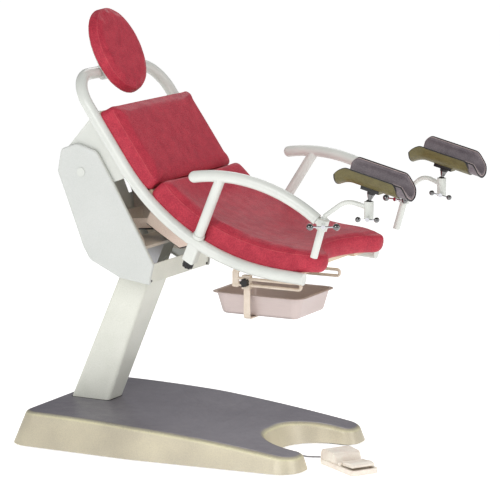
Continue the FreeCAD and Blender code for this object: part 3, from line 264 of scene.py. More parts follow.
def dress(node, material, edge=0.0, sharp=35.0):
    """Stands a copy with merged corners and softened edges in for a CAD node."""
    mesh = frame["nodes"][node].data.copy()
    mesh.name = node + "_finish"
    form = bmesh.new()
    form.from_mesh(mesh)
    bmesh.ops.remove_doubles(form, verts=form.verts, dist=0.00002)
    bmesh.ops.dissolve_limit(form, angle_limit=math.radians(0.5), verts=form.verts, edges=form.edges)
    form.to_mesh(mesh)
    form.free()
    mesh.materials.clear()
    mesh.materials.append(material)
    mesh.polygons.foreach_set("use_smooth", [True] * len(mesh.polygons))
    mesh.set_sharp_from_angle(angle=math.radians(sharp))
    obj = link(bpy.data.objects.new(node + "_finish", mesh))
    if edge:
        bevel = obj.modifiers.new("soft_edges", "BEVEL")
        bevel.width = edge
        bevel.segments = 2
        bevel.limit_method = "ANGLE"
        bevel.angle_limit = math.radians(sharp)
        bevel.harden_normals = True
    even = obj.modifiers.new("even_normals", "WEIGHTED_NORMAL")
    even.keep_sharp = True
    bake(obj)
    finish_piece(obj, node)
    return obj


# Shader groups: each gives only colours, masks and heights

def tone(red, green, blue):
    """Linear colour from the values that a screen shows."""
    def linear(v):
        v = v / 255
        return v / 12.92 if v <= 0.04045 else ((v + 0.055) / 1.055) ** 2.4
    return (linear(red), linear(green), linear(blue), 1)


def shader_group(name, inputs, outputs):
    tree = bpy.data.node_groups.new(name, "ShaderNodeTree")
    for label, kind, value in inputs:
        tree.interface.new_socket(label, in_out="INPUT", socket_type=kind).default_value = value
    for label, kind in outputs:
        tree.interface.new_socket(label, in_out="OUTPUT", socket_type=kind)
    return tree, tree.nodes.new("NodeGroupInput"), tree.nodes.new("NodeGroupOutput")


def node(tree, kind, links=None, **settings):
    """New node with its inputs set or linked by name."""
    made = tree.nodes.new(kind)
    for key, value in settings.items():
        setattr(made, key, value)
    for label, value in (links or {}).items():
        if isinstance(value, bpy.types.NodeSocket):
            tree.links.new(value, made.inputs[label])
        else:
            made.inputs[label].default_value = value
    return made


def mix_colors(tree, factor, a, b, blend="MIX"):
    mixer = tree.nodes.new("ShaderNodeMix")
    mixer.data_type = "RGBA"
    mixer.blend_type = blend
    for index, value in ((0, factor), (6, a), (7, b)):
        if isinstance(value, bpy.types.NodeSocket):
            tree.links.new(value, mixer.inputs[index])
        else:
            mixer.inputs[index].default_value = value
    return mixer.outputs[2]


def speckle_group():
    """Two close tones mixed by coarse clouds and a fine speckle."""
    tree, entry, leave = shader_group("speckle", [
        ("Light", "NodeSocketColor", (0.8, 0.8, 0.8, 1)),
        ("Dark", "NodeSocketColor", (0.6, 0.6, 0.6, 1)),
        ("Cloud Scale", "NodeSocketFloat", 14.0),
        ("Speckle Scale", "NodeSocketFloat", 420.0),
        ("Speckle", "NodeSocketFloat", 0.5),
    ], [("Color", "NodeSocketColor")])
    place = node(tree, "ShaderNodeTexCoord").outputs["Object"]
    cloud = node(tree, "ShaderNodeTexNoise", {"Vector": place, "Scale": entry.outputs["Cloud Scale"],
                                              "Detail": 3.0})
    fine = node(tree, "ShaderNodeTexNoise", {"Vector": place, "Scale": entry.outputs["Speckle Scale"],
                                             "Detail": 1.0})
    blend = node(tree, "ShaderNodeMix", {0: entry.outputs["Speckle"], 2: cloud.outputs["Fac"],
                                         3: fine.outputs["Fac"]})
    level = node(tree, "ShaderNodeMapRange", {"Value": blend.outputs[0], "From Min": 0.34, "From Max": 0.66})
    color = mix_colors(tree, level.outputs["Result"], entry.outputs["Dark"], entry.outputs["Light"])
    tree.links.new(color, leave.inputs["Color"])
    return tree


def grain_group():
    """Cells of a hide or of textured paint: height and roughness."""
    tree, entry, leave = shader_group("grain", [
        ("Scale", "NodeSocketFloat", 700.0),
        ("Smooth", "NodeSocketFloat", 0.4),
        ("Rough", "NodeSocketFloat", 0.6),
    ], [("Height", "NodeSocketFloat"), ("Roughness", "NodeSocketFloat")])
    place = node(tree, "ShaderNodeTexCoord").outputs["Object"]
    cells = node(tree, "ShaderNodeTexVoronoi", {"Vector": place, "Scale": entry.outputs["Scale"]},
                 feature="DISTANCE_TO_EDGE")
    crease = node(tree, "ShaderNodeMapRange", {"Value": cells.outputs["Distance"], "From Max": 0.22},
                  interpolation_type="SMOOTHSTEP")
    wide = node(tree, "ShaderNodeTexNoise", {"Vector": place, "Scale": 30.0, "Detail": 4.0})
    level = node(tree, "ShaderNodeMapRange", {
        "Value": wide.outputs["Fac"], "From Min": 0.3, "From Max": 0.7,
        "To Min": entry.outputs["Smooth"], "To Max": entry.outputs["Rough"]})
    tree.links.new(crease.outputs["Result"], leave.inputs["Height"])
    tree.links.new(level.outputs["Result"], leave.inputs["Roughness"])
    return tree


def brushing_group():
    """Fine lines along one axis, as on drawn or brushed steel."""
    tree, entry, leave = shader_group("brushing", [
        ("Stretch", "NodeSocketVector", (1.0, 40.0, 40.0)),
        ("Scale", "NodeSocketFloat", 30.0),
    ], [("Lines", "NodeSocketFloat"), ("Clouds", "NodeSocketFloat")])
    place = node(tree, "ShaderNodeTexCoord").outputs["Object"]
    pulled = node(tree, "ShaderNodeVectorMath", {0: place, 1: entry.outputs["Stretch"]}, operation="MULTIPLY")
    lines = node(tree, "ShaderNodeTexNoise", {"Vector": pulled.outputs[0], "Scale": entry.outputs["Scale"],
                                              "Detail": 4.0})
    clouds = node(tree, "ShaderNodeTexNoise", {"Vector": place, "Scale": 9.0, "Detail": 2.0})
    tree.links.new(lines.outputs["Fac"], leave.inputs["Lines"])
    tree.links.new(clouds.outputs["Fac"], leave.inputs["Clouds"])
    return tree


def dust_group():
    """Mask of dust that lies low, broken up by noise."""
    tree, entry, leave = shader_group("settled_dust", [
        ("Reach", "NodeSocketFloat", 0.12),
        ("Amount", "NodeSocketFloat", 0.3),
    ], [("Mask", "NodeSocketFloat")])
    where = node(tree, "ShaderNodeTexCoord")
    height = node(tree, "ShaderNodeSeparateXYZ", {"Vector": where.outputs["Object"]})
    low = node(tree, "ShaderNodeMapRange", {
        "Value": height.outputs["Z"], "From Max": entry.outputs["Reach"], "To Min": 1.0, "To Max": 0.0})
    noise = node(tree, "ShaderNodeTexNoise", {"Vector": where.outputs["Object"], "Scale": 22.0,
                                              "Detail": 5.0})
    spread = node(tree, "ShaderNodeMath", {0: low.outputs["Result"], 1: noise.outputs["Fac"]},
                  operation="MULTIPLY")
    scaled = node(tree, "ShaderNodeMath", {0: spread.outputs[0], 1: entry.outputs["Amount"]},
                  operation="MULTIPLY")
    tree.links.new(scaled.outputs[0], leave.inputs["Mask"])
    return tree


speckle = speckle_group()
grain = grain_group()
brushing = brushing_group()
dust = dust_group()


# Materials

def material_base(name, roughness, **fixed):
    """Material with its own shader; constant sockets are set on it directly."""
    material = bpy.data.materials.new(name)
    material.use_nodes = True
    tree = material.node_tree
    shader = tree.nodes["Principled BSDF"]
    shader.inputs["Roughness"].default_value = roughness
    for label, value in fixed.items():
        shader.inputs[label.replace("_", " ")].default_value = value
    return material, tree, shader


def use_group(tree, group, **inputs):
    made = tree.nodes.new("ShaderNodeGroup")
    made.node_tree = group
    for label, value in inputs.items():
        made.inputs[label.replace("_", " ")].default_value = value
    return made


def relief(tree, shader, height, depth, strength=1.0):
    bump = node(tree, "ShaderNodeBump", {"Height": height, "Distance": depth, "Strength": strength})
    tree.links.new(bump.outputs["Normal"], shader.inputs["Normal"])


def painted(name, light, dark, roughness=(0.28, 0.4), cloud=9.0, fine=380.0, share=0.35, peel=500.0,
            depth=0.00004, **fixed):
    """Lacquer or moulded plastic: two close tones, a faint texture and uneven gloss."""
    material, tree, shader = material_base(name, roughness[0], **fixed)
    color = use_group(tree, speckle, Light=tone(*light), Dark=tone(*dark), Cloud_Scale=cloud,
                      Speckle_Scale=fine, Speckle=share)
    cells = use_group(tree, grain, Scale=peel, Smooth=roughness[0], Rough=roughness[1])
    tree.links.new(color.outputs["Color"], shader.inputs["Base Color"])
    tree.links.new(cells.outputs["Roughness"], shader.inputs["Roughness"])
    relief(tree, shader, cells.outputs["Height"], depth)
    return material


def upholstery(name, light, dark):
    """Coated upholstery fabric with a fine hide grain and a soft sheen."""
    material, tree, shader = material_base(name, 0.5, Sheen_Weight=0.04, Sheen_Roughness=0.4,
                                           Specular_IOR_Level=0.26)
    shader.inputs["Sheen Tint"].default_value = tone(255, 200, 190)
    color = use_group(tree, speckle, Light=tone(*light), Dark=tone(*dark), Cloud_Scale=26.0,
                      Speckle_Scale=260.0, Speckle=0.62)
    cells = use_group(tree, grain, Scale=620.0, Smooth=0.40, Rough=0.56)
    tree.links.new(color.outputs["Color"], shader.inputs["Base Color"])
    tree.links.new(cells.outputs["Roughness"], shader.inputs["Roughness"])
    relief(tree, shader, cells.outputs["Height"], 0.00022, 0.8)
    return material


def base_lacquer_painted_light():
    """Metallic lacquer with painted light: blue-grey on level faces, champagne on the walls, a painted pale
    highlight where it turns.
    """
    material, tree, shader = material_base("base_lacquer_painted_light", 0.4, Coat_Weight=0.15, Coat_Roughness=0.25)
    shader.inputs["Metallic"].default_value = 0.2
    facing = node(tree, "ShaderNodeTexCoord")
    upward = node(tree, "ShaderNodeSeparateXYZ", {"Vector": facing.outputs["Normal"]})
    # Painted light: each face takes its tone from how far its normal looks up.
    ramp = tree.nodes.new("ShaderNodeValToRGB")
    tree.links.new(upward.outputs["Z"], ramp.inputs["Fac"])
    stops = ramp.color_ramp.elements
    stops[0].position = 0.36
    stops[0].color = tone(222, 213, 186)
    stops[1].position = 0.995
    stops[1].color = tone(125, 121, 130)
    # Painted highlight along the rounded edges.
    pale = stops.new(0.62)
    pale.color = tone(244, 238, 200)
    turning = stops.new(0.90)
    turning.color = tone(176, 170, 152)
    flakes = use_group(tree, speckle, Light=tone(255, 255, 255), Dark=tone(224, 223, 227),
                       Cloud_Scale=5.0, Speckle_Scale=300.0, Speckle=0.35)
    color = mix_colors(tree, 1.0, ramp.outputs["Color"], flakes.outputs["Color"], "MULTIPLY")
    lying = use_group(tree, dust, Reach=0.05, Amount=0.25)
    dusty = mix_colors(tree, lying.outputs["Mask"], color, tone(205, 198, 186))
    cells = use_group(tree, grain, Scale=900.0, Smooth=0.34, Rough=0.48)
    tree.links.new(dusty, shader.inputs["Base Color"])
    tree.links.new(cells.outputs["Roughness"], shader.inputs["Roughness"])
    relief(tree, shader, cells.outputs["Height"], 0.00004)
    return material


def frame_grey_painted_shade():
    """Grey paint of the head frame with painted shade: darker towards the top, nearly black in the closed
    upper part of the hood.
    """
    material, tree, shader = material_base("inner_grey", 0.55)
    place = node(tree, "ShaderNodeTexCoord").outputs["Object"]
    height = node(tree, "ShaderNodeSeparateXYZ", {"Vector": place})
    level = node(tree, "ShaderNodeMapRange", {"Value": height.outputs["Z"], "From Min": 0.6, "From Max": 1.0})
    # Painted shade: the tone darkens with height, under the seat.
    ramp = tree.nodes.new("ShaderNodeValToRGB")
    tree.links.new(level.outputs["Result"], ramp.inputs["Fac"])
    stops = ramp.color_ramp.elements
    stops[0].position = 0.15
    stops[0].color = tone(226, 218, 206)
    stops[1].position = 0.66
    stops[1].color = tone(26, 23, 24)
    for position, color in ((0.45, tone(214, 202, 192)), (0.61, tone(176, 164, 158))):
        stops.new(position).color = color
    spread = use_group(tree, speckle, Light=tone(255, 255, 255), Dark=tone(220, 218, 216), Cloud_Scale=10.0)
    color = mix_colors(tree, 1.0, ramp.outputs["Color"], spread.outputs["Color"], "MULTIPLY")
    cells = use_group(tree, grain, Scale=500.0, Smooth=0.5, Rough=0.65)
    tree.links.new(color, shader.inputs["Base Color"])
    tree.links.new(cells.outputs["Roughness"], shader.inputs["Roughness"])
    relief(tree, shader, cells.outputs["Height"], 0.00004)
    return material


def brushed(name, color, dark, stretch, metallic=1.0, roughness=(0.22, 0.38)):
    material, tree, shader = material_base(name, roughness[0])
    shader.inputs["Metallic"].default_value = metallic
    lines = use_group(tree, brushing, Stretch=stretch, Scale=26.0)
    mixed = mix_colors(tree, lines.outputs["Lines"], tone(*dark), tone(*color))
    level = node(tree, "ShaderNodeMapRange", {
        "Value": lines.outputs["Clouds"], "From Min": 0.3, "From Max": 0.7,
        "To Min": roughness[0], "To Max": roughness[1]})
    tree.links.new(mixed, shader.inputs["Base Color"])
    tree.links.new(level.outputs["Result"], shader.inputs["Roughness"])
    relief(tree, shader, lines.outputs["Lines"], 0.00003, 0.6)
    return material


def plywood():
    """Pale birch plywood with a long grain."""
    material, tree, shader = material_base("plywood", 0.55)
    place = node(tree, "ShaderNodeTexCoord").outputs["Object"]
    pulled = node(tree, "ShaderNodeMapping", {"Vector": place, "Scale": (3.0, 40.0, 220.0)})
    rings = node(tree, "ShaderNodeTexNoise", {"Vector": pulled.outputs["Vector"], "Scale": 2.2,
                                              "Detail": 6.0})
    color = mix_colors(tree, rings.outputs["Fac"], tone(206, 184, 152), tone(236, 222, 198))
    tree.links.new(color, shader.inputs["Base Color"])
    relief(tree, shader, rings.outputs["Fac"], 0.0002)
    return material


red_fabric = upholstery("red_upholstery", (198, 62, 78), (160, 38, 58))
# Lighter red of the welts and stitches: a painted highlight along the pads' folds.
welt_red_painted_highlight = upholstery("welt_red_painted_highlight", (206, 84, 92), (174, 54, 70))
white_lacquer = painted("white_lacquer", (220, 222, 216), (209, 212, 206),
                        Coat_Weight=0.3, Coat_Roughness=0.12)
cover_white = painted("cover_white", (212, 214, 211), (203, 206, 202), (0.38, 0.52), 7.0, 300.0, 0.5, 650.0)
column_cream = painted("column_cream", (236, 237, 227), (222, 224, 212), (0.34, 0.46), 8.0, 320.0, 0.5)
strap_cream = painted("strap_cream", (230, 217, 203), (208, 192, 173), (0.3, 0.42), 30.0)
drive_plastic = painted("drive_plastic", (252, 236, 222), (232, 208, 196), (0.42, 0.55), 12.0, 260.0, 0.4)
switch_plastic = painted("switch_plastic", (246, 241, 228), (234, 220, 208), (0.36, 0.5), 34.0, 300.0, 0.4)
olive_plastic = painted("olive_plastic", (106, 97, 54), (80, 72, 35), (0.36, 0.5), 40.0, 420.0, 0.6)
grey_foam = painted("grey_foam", (128, 118, 122), (96, 88, 94),
                    (0.42, 0.55), 32.0, 380.0, 0.6, 560.0, 0.00012)
# Pale line round the crutch pads' rims: a painted highlight.
painted_highlight_piping = painted("painted_highlight_piping", (196, 176, 172), (170, 150, 148), (0.45, 0.6))
guide_plastic = painted("guide_plastic", (212, 210, 202), (190, 188, 180), (0.4, 0.55))
black_gloss = painted("black_gloss", (22, 21, 23), (14, 13, 15), (0.06, 0.12), Coat_Weight=1.0,
                      Coat_Roughness=0.04, Coat_IOR=2.1, Specular_IOR_Level=1.0)
black_satin = painted("black_satin", (34, 33, 35), (22, 21, 22), (0.35, 0.5), depth=0.0001)
black_rubber = painted("black_rubber", (40, 39, 39), (26, 25, 25), (0.6, 0.75), depth=0.0002)
dark_steel = painted("dark_steel", (74, 72, 72), (56, 55, 56), (0.45, 0.6), depth=0.0001)
inner_grey = frame_grey_painted_shade()
cable_sheath = painted("cable_sheath", (150, 148, 150), (128, 126, 128), (0.42, 0.55), 60.0)
bare_steel = brushed("bare_steel", (196, 196, 198), (160, 160, 164), (40.0, 40.0, 1.0))
chrome = brushed("chrome", (232, 232, 236), (206, 206, 212), (1.0, 12.0, 12.0), 1.0, (0.06, 0.12))
bowl_steel = brushed("bowl_steel", (212, 197, 192), (192, 177, 174), (1.0, 30.0, 30.0), 0.3, (0.42, 0.55))
ply = plywood()


# Foot switch cable

def turned(x, y, z):
    """Point given from the middle of the foot switch."""
    c = math.cos(switch_turn)
    s = math.sin(switch_turn)
    return switch_place + Vector((x * c - y * s, x * s + y * c, z))


def coil_points(per_turn=24, step_share=0.16):
    """Turns side by side inwards, then outwards on top; each steps over in one sector."""
    points = []
    inward = list(coil_turn_radii)
    levels = [(r, 0.0) for r in inward] + [(r, 2 * cable_radius) for r in reversed(inward)]
    for turn, (radius, lift) in enumerate(levels):
        next_radius, next_lift = levels[turn + 1] if turn + 1 < len(levels) else (radius, lift)
        for k in range(per_turn):
            share = k / per_turn
            t = max(0.0, (share - 1 + step_share) / step_share)
            t = t * t * (3 - 2 * t)
            r = radius + (next_radius - radius) * t
            angle = math.pi / 2 - 2 * math.pi * share
            offset = Vector((r * math.cos(angle), r * math.sin(angle), lift + (next_lift - lift) * t))
            points.append(coil_center + offset)
    return points


def make_cable():
    floor_z = coil_center.z
    top_y = coil_center.y + coil_turn_radii[0]
    into = turned(1, 0, 0) - turned(0, 0, 0)
    switch_tip = turned(switch_reach, 0, switch_gland_z)
    route_in = [
        gland_tip,
        gland_tip + Vector((0.014, -0.0003, -0.0008)),
        gland_tip + Vector((0.029, -0.0014, -0.0056)),
        gland_tip + Vector((0.044, -0.0026, floor_z + 0.0014 - gland_tip.z)),
        Vector((coil_center.x - 0.004, top_y, floor_z)),
    ]
    route_out = [
        Vector((coil_center.x - 0.002, top_y - 0.0004, floor_z + 2 * cable_radius)),
        Vector((coil_center.x + 0.022, top_y + 0.003, floor_z + 0.004)),
        Vector((coil_center.x + 0.046, top_y + 0.009, floor_z)),
        Vector((coil_center.x + 0.070, top_y + 0.019, floor_z)),
        Vector((coil_center.x + 0.092, top_y + 0.025, floor_z + 0.0006)),
        switch_tip + into * 0.020 + Vector((-0.003, 0, -0.0055)),
        switch_tip,
    ]
    points = route_in + coil_points()[1:] + route_out
    curve = bpy.data.curves.new("switch_cable", "CURVE")
    curve.dimensions = "3D"
    curve.bevel_depth = cable_radius
    curve.bevel_resolution = 3
    curve.use_fill_caps = True
    curve.resolution_u = 4
    line = curve.splines.new("NURBS")
    line.points.add(len(points) - 1)
    for spot, point in zip(line.points, points):
        spot.co = (*point, 1)
    line.order_u = 3
    line.use_endpoint_u = True
    curve.materials.append(cable_sheath)
    cable = link(bpy.data.objects.new("switch_cable", curve))
    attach(cable, "base")
    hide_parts("cable_tube", "cable_coil")


# Upholstery

down = Vector((math.cos(back_angle), 0, -math.sin(back_angle)))
back_normal = Vector((math.sin(back_angle), 0, math.cos(back_angle)))
out = Vector((math.cos(front_angle), 0, -math.sin(front_angle)))
front_normal = Vector((math.sin(front_angle), 0, math.cos(front_angle)))
tangent_run = rail_bend * math.tan((back_angle - front_angle) / 2)
bend_run = rail_bend * (back_angle - front_angle)
gap = front_end - back_top
corner_run = (gap.z * out.x - gap.x * out.z) / (down.z * out.x - down.x * out.z)
back_run = corner_run - tangent_run
bend_center = back_top + down * back_run + back_normal * rail_bend
front_start = bend_center - front_normal * rail_bend
front_run = (front_end - front_start).dot(out)
rail_length = back_run + bend_run + front_run


def on_rails(s, y, lift):
    """Point at a length along the rails, from the top of the back, lifted towards the sitter."""
    if s < back_run:
        point, normal = back_top + down * s, back_normal
    elif s < back_run + bend_run:
        angle = back_angle - (s - back_run) / rail_bend
        normal = Vector((math.sin(angle), 0, math.cos(angle)))
        point = bend_center - normal * rail_bend
    else:
        point, normal = front_start + out * (s - back_run - bend_run), front_normal
    return point + normal * lift + Vector((0, y, 0))


def on_back(s, y, lift):
    """Point on the straight back, whose underside follows the bend lower down."""
    rise = max(0.0, s - back_run) ** 2 / (2 * (rail_bend - pad_seat))
    share = min(1.0, max(0.0, (back_pad_height - lift) / (back_pad_height - pad_seat)))
    return back_top + down * s + back_normal * (lift + rise * share) + Vector((0, y, 0))


def on_headrest(u, v, lift):
    """Point on the headrest: u down its face, v to the side, lift out of its back."""
    normal = Vector((math.sin(headrest_tilt), 0, math.cos(headrest_tilt)))
    along = Vector((math.cos(headrest_tilt), 0, -math.sin(headrest_tilt)))
    return headrest_center + along * u + Vector((0, v, 0)) + normal * (lift - headrest_depth)


def rounded_outline(corners, step=0.006):
    """Dense closed outline from (u, v, radius) corners, with its straight runs divided."""
    points = []
    count = len(corners)
    for i, (u, v, radius) in enumerate(corners):
        here = Vector((u, v))
        before = (Vector(corners[i - 1][:2]) - here).normalized()
        after = (Vector(corners[(i + 1) % count][:2]) - here).normalized()
        half = before.angle(after) / 2
        reach = radius / math.tan(half)
        center = here + (before + after).normalized() * (radius / math.sin(half))
        start = here + before * reach - center
        sweep = start.angle_signed(here + after * reach - center)
        parts = max(2, int(abs(sweep) * radius / step))
        for k in range(parts + 1):
            a = -sweep * k / parts
            turned_start = Vector((start.x * math.cos(a) - start.y * math.sin(a),
                                   start.x * math.sin(a) + start.y * math.cos(a)))
            points.append(center + turned_start)
    dense = []
    for a, b in zip(points, points[1:] + points[:1]):
        parts = max(1, int((b - a).length / step))
        dense += [a.lerp(b, k / parts) for k in range(parts)]
    return dense


def oval_outline(half_u, half_v, count=150):
    return [Vector((half_u * math.cos(a), half_v * math.sin(a)))
            for a in (2 * math.pi * k / count for k in range(count))]


def shrink(outline, inset):
    """Anticlockwise outline moved inwards, everywhere alike or by one inset a point."""
    moved = []
    count = len(outline)
    insets = inset if isinstance(inset, list) else [inset] * count
    for i, point in enumerate(outline):
        run = outline[(i + 1) % count] - outline[i - 1]
        normal = Vector((-run.y, run.x)).normalized()
        moved.append(point + normal * insets[i])
    return moved


def anticlockwise(outline):
    area = sum(a.x * b.y - b.x * a.y for a, b in zip(outline, outline[1:] + outline[:1]))
    return outline if area > 0 else outline[::-1]


def flat_pad(name, outline, low, high, top_round, bottom_round):
    """Closed form over an outline, in flat coordinates; bottom_round gives the lower edge's radius at u."""
    verts = []
    below = [bottom_round(p.x) for p in outline]
    for k in range(5):
        a = math.pi / 2 * k / 4
        moved = shrink(outline, [r * (1 - math.sin(a)) for r in below])
        verts += [(p.x, p.y, low + r * (1 - math.cos(a))) for p, r in zip(moved, below)]
    for k in range(6):
        a = math.pi / 2 * k / 5
        lift = high - top_round * (1 - math.sin(a))
        verts += [(p.x, p.y, lift) for p in shrink(outline, top_round * (1 - math.cos(a)))]
    count = len(outline)
    faces = [tuple(reversed(range(count))), tuple(range(len(verts) - count, len(verts)))]
    for ring in range(len(verts) // count - 1):
        for i in range(count):
            j = (i + 1) % count
            a = ring * count
            faces.append((a + i, a + j, a + count + j, a + count + i))
    return mesh_object(name, verts, faces, red_fabric, smooth=True)


def inflate(pad, pinned, cap):
    """Blows the cover up a little with a cloth simulation, no point moving further than cap."""
    group = pad.vertex_groups.new(name="held")
    group.add(pinned, 1.0, "REPLACE")
    cloth = pad.modifiers.new("filling", "CLOTH")
    cloth.settings.use_pressure = True
    cloth.settings.uniform_pressure_force = 4
    cloth.settings.vertex_group_mass = group.name
    cloth.settings.effector_weights.gravity = 0
    cloth.point_cache.frame_end = 20
    for step in range(1, 21):
        scene.frame_set(step)
    blown = evaluated_mesh(pad)
    pad.modifiers.remove(cloth)
    pad.vertex_groups.clear()
    for vertex, moved in zip(pad.data.vertices, blown.vertices):
        shift = moved.co - vertex.co
        if shift.length > cap:
            shift *= cap / shift.length
        vertex.co += shift
    bpy.data.meshes.remove(blown)
    scene.frame_set(1)


def make_pad(name, outline, place, low, high, top_round, bottom_round, voxel, cap, shape=None):
    """Cushion from a flat outline: even mesh, laid on its frame, filled, subdivided once."""
    outline = anticlockwise(outline)
    pad = flat_pad(name, outline, low, high, top_round, bottom_round)
    even = pad.modifiers.new("even", "REMESH")
    even.mode = "VOXEL"
    even.voxel_size = voxel
    bake(pad)
    pinned = []
    for vertex in pad.data.vertices:
        u, v, lift = vertex.co
        if lift < low + 0.004:
            pinned.append(vertex.index)
        elif shape:
            lift += shape(u, v) * (lift - low) / (high - low)
        vertex.co = place(u, v, lift)
    face_outwards(pad.data)
    inflate(pad, pinned, cap)
    smooth = pad.modifiers.new("even_out", "SMOOTH")
    smooth.factor = 0.5
    smooth.iterations = 3
    round_off = pad.modifiers.new("round_off", "SUBSURF")
    round_off.levels = 1
    round_off.render_levels = 1
    bake(pad)
    pad.data.materials.clear()
    pad.data.materials.append(red_fabric)
    pad.data.polygons.foreach_set("use_smooth", [True] * len(pad.data.polygons))
    return pad


def seam_line(pad, outline, place, inset, height, outwards=0.03):
    """Points on the pad's skin above a flat outline, looked up from outside and above."""
    skin = BVHTree.FromObject(pad, bpy.context.evaluated_depsgraph_get())
    found = []
    outline = anticlockwise(outline)
    for inner, outer in zip(shrink(outline, inset), shrink(outline, inset - 0.02)):
        target = place(inner.x, inner.y, height)
        start = place(outer.x, outer.y, height + 0.02)
        ray = (target - start).normalized()
        hit, normal, _, _ = skin.ray_cast(start - ray * outwards, ray)
        if hit is not None:
            found.append((hit, normal))
    return found


def relaxed(points, rounds=4):
    """Closed line of points with each one drawn between its neighbours."""
    for _ in range(rounds):
        before, after = points[-1:] + points[:-1], points[1:] + points[:1]
        points = [(a + b * 2 + c) / 4 for a, b, c in zip(before, points, after)]
    return points


def stitch_tree():
    """Stitches laid along a line at an even pitch."""
    tree = bpy.data.node_groups.new("stitch_row", "GeometryNodeTree")
    tree.interface.new_socket("Geometry", in_out="INPUT", socket_type="NodeSocketGeometry")
    for label, value in (("Pitch", 0.0055), ("Length", 0.0038), ("Thread", 0.0009)):
        tree.interface.new_socket(label, in_out="INPUT", socket_type="NodeSocketFloat").default_value = value
    tree.interface.new_socket("Material", in_out="INPUT", socket_type="NodeSocketMaterial")
    tree.interface.new_socket("Geometry", in_out="OUTPUT", socket_type="NodeSocketGeometry")
    entry = tree.nodes.new("NodeGroupInput")
    leave = tree.nodes.new("NodeGroupOutput")
    line = node(tree, "GeometryNodeMeshToCurve", {"Mesh": entry.outputs["Geometry"]})
    even = node(tree, "GeometryNodeResampleCurve", {"Curve": line.outputs["Curve"],
                                                    "Length": entry.outputs["Pitch"]}, mode="LENGTH")
    bead = node(tree, "GeometryNodeMeshUVSphere", {"Segments": 6, "Rings": 4, "Radius": 0.5})
    thread = entry.outputs["Thread"]
    size = node(tree, "ShaderNodeCombineXYZ", {"X": entry.outputs["Length"], "Y": thread, "Z": thread})
    shaped = node(tree, "GeometryNodeTransform", {"Geometry": bead.outputs["Mesh"],
                                                  "Scale": size.outputs["Vector"]})
    along = node(tree, "GeometryNodeInputTangent")
    turn = node(tree, "FunctionNodeAlignRotationToVector", {"Vector": along.outputs["Tangent"]}, axis="X")
    laid = node(tree, "GeometryNodeInstanceOnPoints", {"Points": even.outputs["Curve"],
                                                       "Instance": shaped.outputs["Geometry"],
                                                       "Rotation": turn.outputs["Rotation"]})
    real = node(tree, "GeometryNodeRealizeInstances", {"Geometry": laid.outputs["Instances"]})
    dressed = node(tree, "GeometryNodeSetMaterial", {"Geometry": real.outputs["Geometry"],
                                                     "Material": entry.outputs["Material"]})
    tree.links.new(dressed.outputs["Geometry"], leave.inputs["Geometry"])
    return tree


def run_nodes(name, verts, edges, tree, inputs):
    """Feeds a line to a geometry tree and keeps the result as a plain mesh."""
    mesh = bpy.data.meshes.new(name)
    mesh.from_pydata([tuple(v) for v in verts], edges, [])
    obj = link(bpy.data.objects.new(name, mesh))
    modifier = obj.modifiers.new("rows", "NODES")
    modifier.node_group = tree
    keys = {item.name: item.identifier for item in tree.interface.items_tree if item.in_out == "INPUT"}
    for label, value in inputs.items():
        modifier[keys[label]] = value
    bake(obj)
    obj.data.polygons.foreach_set("use_smooth", [True] * len(obj.data.polygons))
    return obj


def sew(pad, body, outline, place, inset, height, stitches):
    """Welt on the fold of a pad and a row of stitches beside it, both in the lighter red that paints the
    fold's highlight.
    """
    fold = seam_line(pad, outline, place, inset, height)
    points = relaxed([hit - normal * welt_radius * 0.35 for hit, normal in fold])
    welt = tube(pad.name + "_welt", points, welt_radius, welt_red_painted_highlight, closed=True)
    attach(welt, body)
    row = seam_line(pad, outline, place, inset + stitch_inset, height)
    points = relaxed([hit for hit, _ in row])
    edges = [(i, (i + 1) % len(points)) for i in range(len(points))]
    thread = run_nodes(pad.name + "_stitches", points, edges, stitches, {"Material": welt_red_painted_highlight})
    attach(thread, body)


def clear_posts(pad):
    """Dents the seat pad round the armrest posts."""
    for side in sides.values():
        lean = Vector((arm_lean.x, -side * arm_lean.y, arm_lean.z))
        foot = on_rails(post_length, side * rail_half, 0)
        for vertex in pad.data.vertices:
            away = vertex.co - foot
            along = away.dot(lean)
            radial = away - lean * along
            reach = radial.length
            if 0 < along < 0.2 and reach < post_room * 1.6:
                wanted = post_room + 0.12 * max(0.0, reach - post_room * 0.4)
                if reach < wanted:
                    vertex.co += radial.normalized() * (wanted - reach)
        pad.data.update()


def length_at(x):
    """Length along the rails at a distance along X, found by halving."""
    low, high = 0.0, rail_length
    for _ in range(40):
        middle = (low + high) / 2
        low, high = (middle, high) if on_rails(middle, 0, 0).x < x else (low, middle)
    return low


post_length = length_at(arm_cross_x)


def seat_shape(u, v):
    """The seat rises to its long edges and sinks in the middle."""
    across = min(1.0, abs(v) / 0.25)
    fade = min(1.0, max(0.0, (rail_length - u) / 0.22))
    rise = seat_edge_rise * min(1.0, max(0.0, (u - seat_pad_start - 0.08) / 0.25))
    sink = seat_middle_sink * min(1.0, max(0.0, (u - seat_pad_start) / 0.12))
    return fade * (rise - sink * (1 - across ** 2.2))


def thin_edge(u):
    """Lower edge radius of a pad that lies flat on its board."""
    return 0.002


def nose_edge(u):
    """Lower edge radius of the seat pad, whose prongs are rounded underneath."""
    share = min(1.0, max(0.0, (u - rail_length + 0.07) / 0.10))
    return 0.002 + 0.028 * share * share * (3 - 2 * share)


